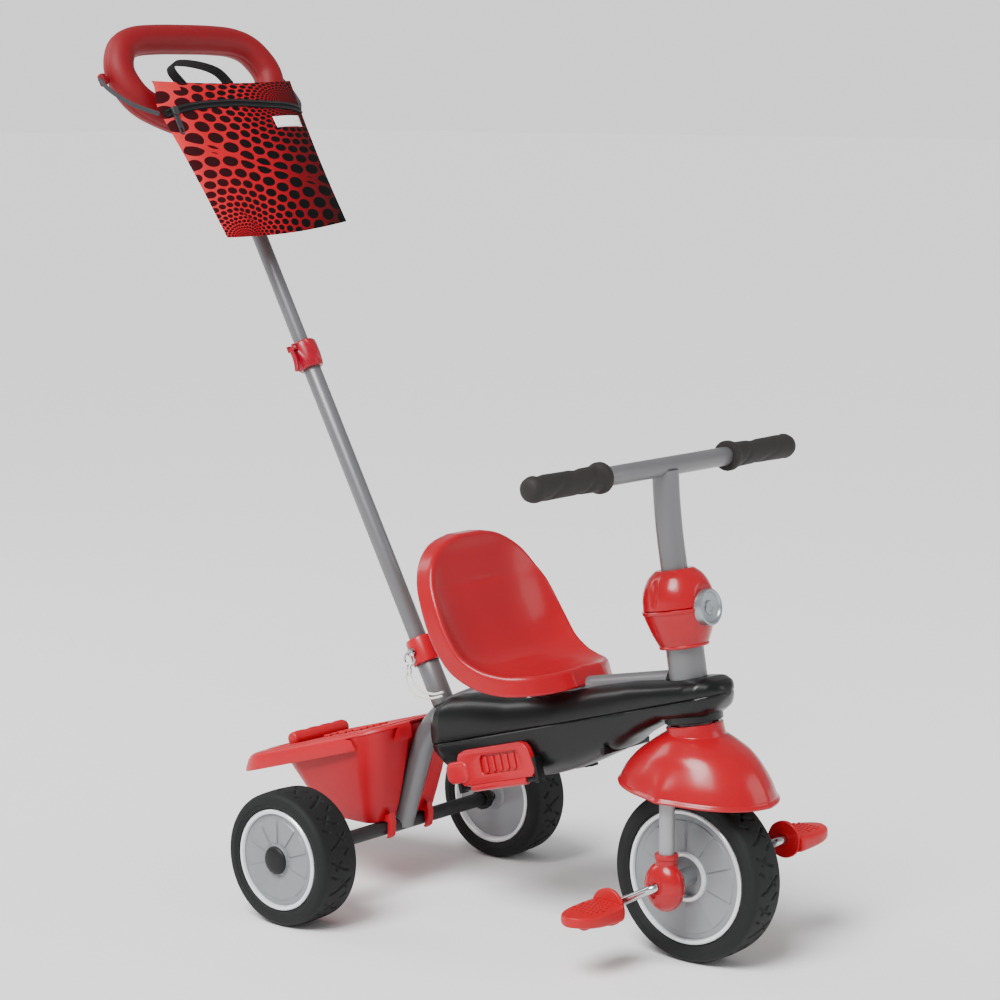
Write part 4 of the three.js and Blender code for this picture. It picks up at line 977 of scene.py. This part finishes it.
# ---- push pole ---------------------------------------------------------------
def push_pole():
    """The two pole tubes, their collars, the clamp with its lever, and the locking pin."""
    lower = [(9.8, -24), (10.8, -24), (11, -23.6), (11, 427.6), (10.8, 428), (9.8, 428)]
    put("pole_lower", *turned_z(lower, 64), "frame_grey", "frame", POLE, ["lower_pole"])
    upper = [(8, 240), (9.3, 240), (9.5, 240.4), (9.5, 741.6), (9.3, 742), (8, 742)]
    put("pole_upper", *turned_z(upper, 64), "frame_grey", "sliding_pole", POLE, ["upper_pole"])
    collar = [(14.5, -5), (17.2, -5), (18, -4), (18.2, 2), (17.4, 24), (16.6, 27), (15.4, 28), (11.4, 28),
              (11.4, 0.5), (14.5, 0.5)]
    put("pole_collar", *turned_z(collar, 80), "latch_red", "frame", POLE, ["socket_collar"], 30)

    def curved_ribs(angle, r, h):
        if r < 14:
            return 0, 0
        return 1.1 * max(0, math.sin(angle * 5 + (h - 416) / 9)) ** 6, 0
    barrel = [(11.4, 398), (14.6, 398)]
    barrel += eased([(16, 399.5), (17.2, 408), (17.6, 416), (17.2, 425), (16, 432.5)], 6)
    barrel += [(14.6, 434), (9.9, 434), (9.9, 428.6), (11.4, 428.6)]
    lug = block((-6, -24, 424), (-3.4, -15, 432))
    other = block((3.4, -24, 424), (6, -15, 432))
    put("clamp_body", *merge(turned_z(barrel, 120, curved_ribs), lug, other), "clamp_red", "frame", POLE,
        ["clamp_collar"], 40)
    bow = [(-19, 429.2), (-21, 430.2), (-23.4, 429.4), (-24.6, 424), (-24, 414), (-26.5, 404), (-29, 398),
           (-25.5, 396.5), (-22, 402), (-20, 412), (-19, 424)]
    lever = moved(plate(bow, -3, 3, 1), Matrix.Rotation(math.radians(-90), 4, "Z"))
    lever = [Vector((-p.x, -p.y, p.z)) if p.y > 0 else p for p in lever[0]], lever[1]
    put("clamp_handle", *lever, "clamp_red", "lever", POLE, ["clamp_lever"])
    put("clamp_rivet", *rod((-6.5, -21, 428), (6.5, -21, 428), 1.5, 16), "steel", "frame", POLE,
        ["clamp_pin"])
    pin = merge(rod((0, -22, 12), (0, 19, 12), 2.9, 20), rod((0, -25, 12), (0, -18.6, 12), 5.5, 32, 1.5))
    put("pin_body", *pin, "steel", "locking_pin", POLE, ["socket_pin"])
    ring_line = [(8 * math.cos(a) - 2, -27, 8 * math.sin(a) + 4.5)
                 for a in np.linspace(0, 2 * math.pi, 49)[:-1]]
    put("pin_split_ring", *swept(ring_line, circle(1.2, 14), closed=True, start_up=(0, 1, 0)), "steel",
        "locking_pin", POLE, ["pin_ring"])


def handle_line():
    """The middle line of the handle's loop, as (y, z) points round it."""
    top = 869
    half = [(0, top), (46, top - 0.5), (86, top - 4), (113, top - 16), (129, top - 41), (129, top - 63),
            (117, top - 87), (92, top - 104), (50, 749)]
    ring = half + [(0, 744)] + [(-y, z) for y, z in half[:0:-1]]
    doubled = eased(ring + ring[:1] + ring[1:3], 12)
    return doubled[12:12 + 12 * len(ring)]


def handle():
    """The loop handle as a front and a rear half shell, with hooks for the straps."""
    line = [(0, y, z) for y, z in handle_line()]
    centre = Vector((0, 0, 810))
    for name, sign, node in (("handle_front", 1, "handle_front_shell"),
                             ("handle_back", -1, "handle_rear_shell")):
        rings = []
        total = len(line)
        for i in range(total):
            at = Vector(line[i])
            along = (Vector(line[(i + 1) % total]) - Vector(line[i - 1])).normalized()
            out = Vector((0, -along.z, along.y))
            if out.dot(at - centre) < 0:
                out = -out
            ring = []
            for k in range(25):
                a = math.pi * k / 24
                reach = 19.2 - 0.9 * bell(math.sin(a), 0.07)
                mark = 0
                if sign > 0 and at.z > 850:
                    oval = (at.y / 15) ** 2 + ((a - math.pi / 2) / 0.62) ** 2
                    mark = -0.9 * bell(oval - 1, 0.28)
                ring.append(at + out * (reach + mark) * math.cos(a)
                            + Vector((sign * ((reach + mark) * math.sin(a) + 0.1), 0, 0)))
            rings.append(ring)
        shapes = [skin_rings(rings, closed=True)]
        half = [(14 * math.cos(a), sign * (14 * math.sin(a)) + sign * 0.1)
                for a in np.linspace(0, math.pi, 20)]
        boss = skin_rings([[(x, y, z) for y, x in half] for z in (704, 706, 744)])
        shapes.append(boss)
        if sign < 0:
            for side in (-1, 1):
                hook = moved(plate(rounded_box((-12, -2), (806, 822), 3), 154, 160, 1),
                             Matrix.Scale(side, 4, (0, 1, 0)))
                arm = rod((-7, side * 142, 814.5), (-7, side * 157, 814.5), 4.6, 20)
                shapes += [hook, arm]
        put(name, *merge(*shapes), "soft_red", "sliding_pole", POLE, [node], 45)


# ---- bag ---------------------------------------------------------------------
def printed_cloth():
    """Dark dots that grow away from two centres, over a red that runs from salmon to deep red."""
    made = bpy.data.materials.new("printed_cloth")
    made.use_nodes = True
    nodes, links = made.node_tree.nodes, made.node_tree.links
    shader = nodes["Principled BSDF"]
    shader.inputs["Roughness"].default_value = 0.85
    shader.inputs["Specular IOR Level"].default_value = 0.15
    where = nodes.new("ShaderNodeUVMap")
    where.uv_map = "cloth"
    split = nodes.new("ShaderNodeSeparateXYZ")
    links.new(where.outputs["UV"], split.inputs[0])

    def calc(kind, a, b=None, c=None):
        node = nodes.new("ShaderNodeMath")
        node.operation = kind
        for slot, value in zip(node.inputs, (a, b, c)):
            if value is None:
                continue
            if isinstance(value, (int, float)):
                slot.default_value = value
            else:
                links.new(value, slot)
        return node.outputs[0]

    u, v = split.outputs[0], split.outputs[1]

    def polar(cu, cv, spokes):
        """How far a point lies from the nearest dot of a fan, and from the fan's centre."""
        x = calc("MULTIPLY", calc("SUBTRACT", u, cu), 0.66)
        y = calc("SUBTRACT", v, cv)
        away = calc("SQRT", calc("ADD", calc("MULTIPLY", x, x), calc("MULTIPLY", y, y)))
        angle = calc("MULTIPLY", calc("ARCTAN2", y, x), spokes / (2 * math.pi))
        ring = calc("MULTIPLY", calc("LOGARITHM", calc("ADD", away, 0.02), math.e),
                    spokes / (2 * math.pi) * 1.12)
        odd = calc("MULTIPLY", calc("FLOOR", ring), 0.5)
        across = calc("SUBTRACT", calc("FRACT", calc("ADD", angle, odd)), 0.5)
        along = calc("SUBTRACT", calc("FRACT", ring), 0.5)
        far = calc("SQRT", calc("ADD", calc("MULTIPLY", across, across), calc("MULTIPLY", along, along)))
        return far, away

    low_dots, low_away = polar(0.14, -0.02, 36)
    high_dots, high_away = polar(0.87, 0.84, 36)
    between = calc("SUBTRACT", low_away, high_away)
    reach = calc("MULTIPLY", calc("MINIMUM", calc("MULTIPLY", calc("ABSOLUTE", between), 34), 1), 0.42)
    pick = calc("GREATER_THAN", between, 0)
    keep_high = calc("MULTIPLY", calc("LESS_THAN", high_dots, reach), pick)
    keep_low = calc("MULTIPLY", calc("LESS_THAN", low_dots, reach), calc("SUBTRACT", 1, pick))
    dots = calc("ADD", keep_high, keep_low)
    plain = calc("MULTIPLY", calc("LESS_THAN", u, 0.16), calc("GREATER_THAN", v, 0.93))
    dots = calc("MULTIPLY", dots, calc("SUBTRACT", 1, plain))
    ground = nodes.new("ShaderNodeValToRGB")
    stops = ((0.0, (204, 56, 58)), (0.25, (186, 14, 30)), (0.5, (176, 2, 26)), (0.75, (112, 3, 14)),
             (1.0, (50, 2, 7)))
    ramp = ground.color_ramp
    while len(ramp.elements) < len(stops):
        ramp.elements.new(0.5)
    for element, (at, rgb) in zip(ramp.elements, stops):
        element.position = at
        element.color = linear(rgb)
    links.new(calc("ADD", calc("MULTIPLY", u, 0.85), calc("MULTIPLY", calc("SUBTRACT", 1, v), 0.18)),
              ground.inputs["Fac"])
    dark = nodes.new("ShaderNodeValToRGB")
    dark.color_ramp.elements[0].color = linear((52, 2, 9))
    dark.color_ramp.elements[1].color = linear((3, 2, 2))
    dark.color_ramp.elements[1].position = 0.5
    links.new(u, dark.inputs["Fac"])
    mix = nodes.new("ShaderNodeMix")
    mix.data_type = "RGBA"
    links.new(dots, mix.inputs["Factor"])
    links.new(ground.outputs["Color"], mix.inputs["A"])
    links.new(dark.outputs["Color"], mix.inputs["B"])
    links.new(mix.outputs["Result"], shader.inputs["Base Color"])
    weave = nodes.new("ShaderNodeTexNoise")
    weave.inputs["Scale"].default_value = 1200
    relief = nodes.new("ShaderNodeBump")
    relief.inputs["Strength"].default_value = 0.35
    relief.inputs["Distance"].default_value = 0.0004
    links.new(weave.outputs["Fac"], relief.inputs["Height"])
    links.new(relief.outputs["Normal"], shader.inputs["Normal"])
    return made


LOOKS["printed_cloth"] = printed_cloth()


def bag_shape(u, v, side):
    """A point of the flat pouch. u runs left to right in the rider's view from the front, v upward."""
    left = 111 + (133 - 111) * v
    high = max(0.0, min(1.0, (v - 0.8) / 0.2))
    right = left - 18 * high ** 2 * (3 - 2 * high)
    droop = (13 * (1 - v) * (1 - u) + 5 * (1 - v) ** 3 * math.sin(math.pi * u)
             + 3.5 * v ** 6 * math.sin(math.pi * u))
    y = -right + (left + right) * u - (2 * u - 1) * 4 * math.sin(math.pi * v)
    z = 576 + 216 * v - droop
    edge = max(0.0, 1 - abs(2 * u - 1) ** 5) * max(0.0, 1 - abs(2 * v - 1) ** 7)
    full = 9.5 * edge ** 0.6 * (0.55 + 0.45 * math.sin(math.pi * min(1, 1.15 * (1 - v))))
    folds = 1.4 * math.sin(9 * u + 3.2 * v) * math.sin(5 * v + 1) + 0.8 * math.sin(17 * u - 9 * v)
    corner = 4.5 * math.exp(-((u - 0.2) ** 2 + (v - 0.08) ** 2) / 0.006) * math.sin(30 * (u + v))
    return Vector((31 + 19 * (1 - v) + side * full + (folds + corner) * edge ** 0.5, y, z))


def bag():
    """The flat pouch with its zip, label, carry loop and side straps."""
    cols, rows = 84, 72
    verts, uv, faces = [], [], []
    for side in (1, -1):
        base = len(verts)
        for j in range(rows + 1):
            for i in range(cols + 1):
                verts.append(bag_shape(i / cols, j / rows, side))
                uv.append((i / cols, j / rows))
        for j in range(rows):
            for i in range(cols):
                a = base + j * (cols + 1) + i
                faces.append((a, a + 1, a + cols + 2, a + cols + 1))
    made = put("pouch", verts, faces, "printed_cloth", "sliding_pole", POLE, ["bag"], 80, uv=uv)
    zip_line = [bag_shape(u, 0.775 + 0.06 * math.sin(math.pi * u), 1) + Vector((0.9, 0, 0))
                for u in np.linspace(0.015, 0.985, 90)]
    tape = swept(zip_line, lambda i, n: [(-5.5, -0.5), (5.5, -0.5), (5.5, 0.5), (-5.5, 0.5)],
                 start_up=(1, 0, 0))
    put("zip_tape", *tape, "strap_black", "sliding_pole", POLE)
    piping = [p + Vector((0.8, 0, 3.2)) for p in zip_line]
    under = [p + Vector((0.8, 0, -3.2)) for p in zip_line]
    put("zip_edges", *merge(tube(piping, 1.5, 12, (1, 0, 0)), tube(under, 1.2, 12, (1, 0, 0))), "zip_black",
        "sliding_pole", POLE)
    at = zip_line[5] + Vector((2.4, 0, 0))
    body = moved(plate(rounded_box((-5, 5), (-6, 5), 3), -2, 2, 0.8),
                 Matrix.Rotation(math.radians(90), 4, "Z"))
    tag = plate(rounded_box((-4.4, 4.4), (-34, -4), 3.4), 0.2, 2.4, 0.6,
                [rounded_box((-1.8, 1.8), (-31, -24), 1.7)])
    tag = moved(tag, Matrix.Rotation(math.radians(90), 4, "Z"))
    slider = moved(merge(body, tag), Matrix.Translation(at))
    put("zip_pull", *slider, "zip_grey", "sliding_pole", POLE, ["zip_slider"])
    patch = []
    for j in range(7):
        for i in range(17):
            patch.append(bag_shape(0.735 + 0.195 * i / 16, 0.655 + 0.075 * j / 6, 1) + Vector((0.9, 0, 0)))
    cells = [(j * 17 + i, j * 17 + i + 1, (j + 1) * 17 + i + 1, (j + 1) * 17 + i)
             for j in range(6) for i in range(16)]
    label = put("blank_label", patch, cells, "label_white", "sliding_pole", POLE)
    rim = label.modifiers.new("thick", "SOLIDIFY")
    rim.thickness = 0.0008
    loop = eased([(27, -60, 788), (27, -70, 808), (27, -60, 819), (27, -26, 818), (27, 8, 808),
                  (27, 24, 788)], 10)
    band = swept(loop, lambda i, n: [(-1, -7), (1, -7), (1, 7), (-1, 7)], start_up=(1, 0, 0))
    put("carry_band", *band, "strap_black", "sliding_pole", POLE, ["bag_carry_loop"])
    for side, sign in SIDES:
        route = eased([(-7, sign * 162, 816), (2, sign * 161, 795), (18, sign * 149, 766),
                       (33, sign * 126, 744)], 8)
        strap = swept(route, lambda i, n: [(-1, -2.6), (1, -2.6), (1, 2.6), (-1, 2.6)], start_up=(1, 0, 0))
        put(f"side_strap_{side}", *strap, "strap_grey", "sliding_pole", POLE, [f"bag_strap_{side}"])


# ---- tether ------------------------------------------------------------------
def strand(name, points, diameter):
    """One thin cord as a smooth curve of round section."""
    curve = bpy.data.curves.new(name, "CURVE")
    curve.dimensions = "3D"
    curve.bevel_depth = diameter / 2000
    curve.bevel_resolution = 3
    spline = curve.splines.new("POLY")
    line = [ROW @ Vector(p) for p in eased(points, 10)]
    spline.points.add(len(line) - 1)
    for point, at in zip(spline.points, line):
        point.co = (*at, 1)
    curve.materials.append(LOOKS["cord_white"])
    made = bpy.data.objects.new(name, curve)
    bpy.context.collection.objects.link(made)
    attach(made, "frame")
    return made


def tether():
    """The doubled cord between the pin's ring and the frame, and its clip."""
    first = strand("tether_strand", [(37, -27, 289.5), (40, -29, 280), (47, -30, 272), (60, -28, 264),
                                     (75, -25, 262), (88, -22, 266)], 3.2)
    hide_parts("tether_cord")
    strand("tether_return", [(34, -26.5, 289.5), (34, -31, 278), (41, -34, 268), (56, -33, 259.5),
                             (74, -30, 257.5), (90, -26, 262)], 3.0)
    clip = swept([(37 + 3.4 * math.cos(a), -28, 287 + 6 * math.sin(a))
                  for a in np.linspace(0, 2 * math.pi, 33)[:-1]],
                 circle(1.0, 12), closed=True, start_up=(0, 1, 0))
    put("tether_clip", *clip, "steel", "frame")


def floor():
    """The studio's plain floor, which isn't part of the object."""
    mesh = bpy.data.meshes.new("studio_floor")
    mesh.from_pydata([(-40, -40, 0), (40, -40, 0), (40, 40, 0), (-40, 40, 0)], [], [(0, 1, 2, 3)])
    ground = bpy.data.objects.new("studio_floor", mesh)
    bpy.context.collection.objects.link(ground)
    mesh.materials.append(look("studio_white", (244, 244, 244), 0.7, uneven=0.0))


wheels()
axle_parts()
frame_tubes()
covers()
seat()
steering()
knob()
mudguard()
hub_covers()
crank_and_pedals()
bucket()
lid()
footrests()
push_pole()
handle()
bag()
tether()
floor()
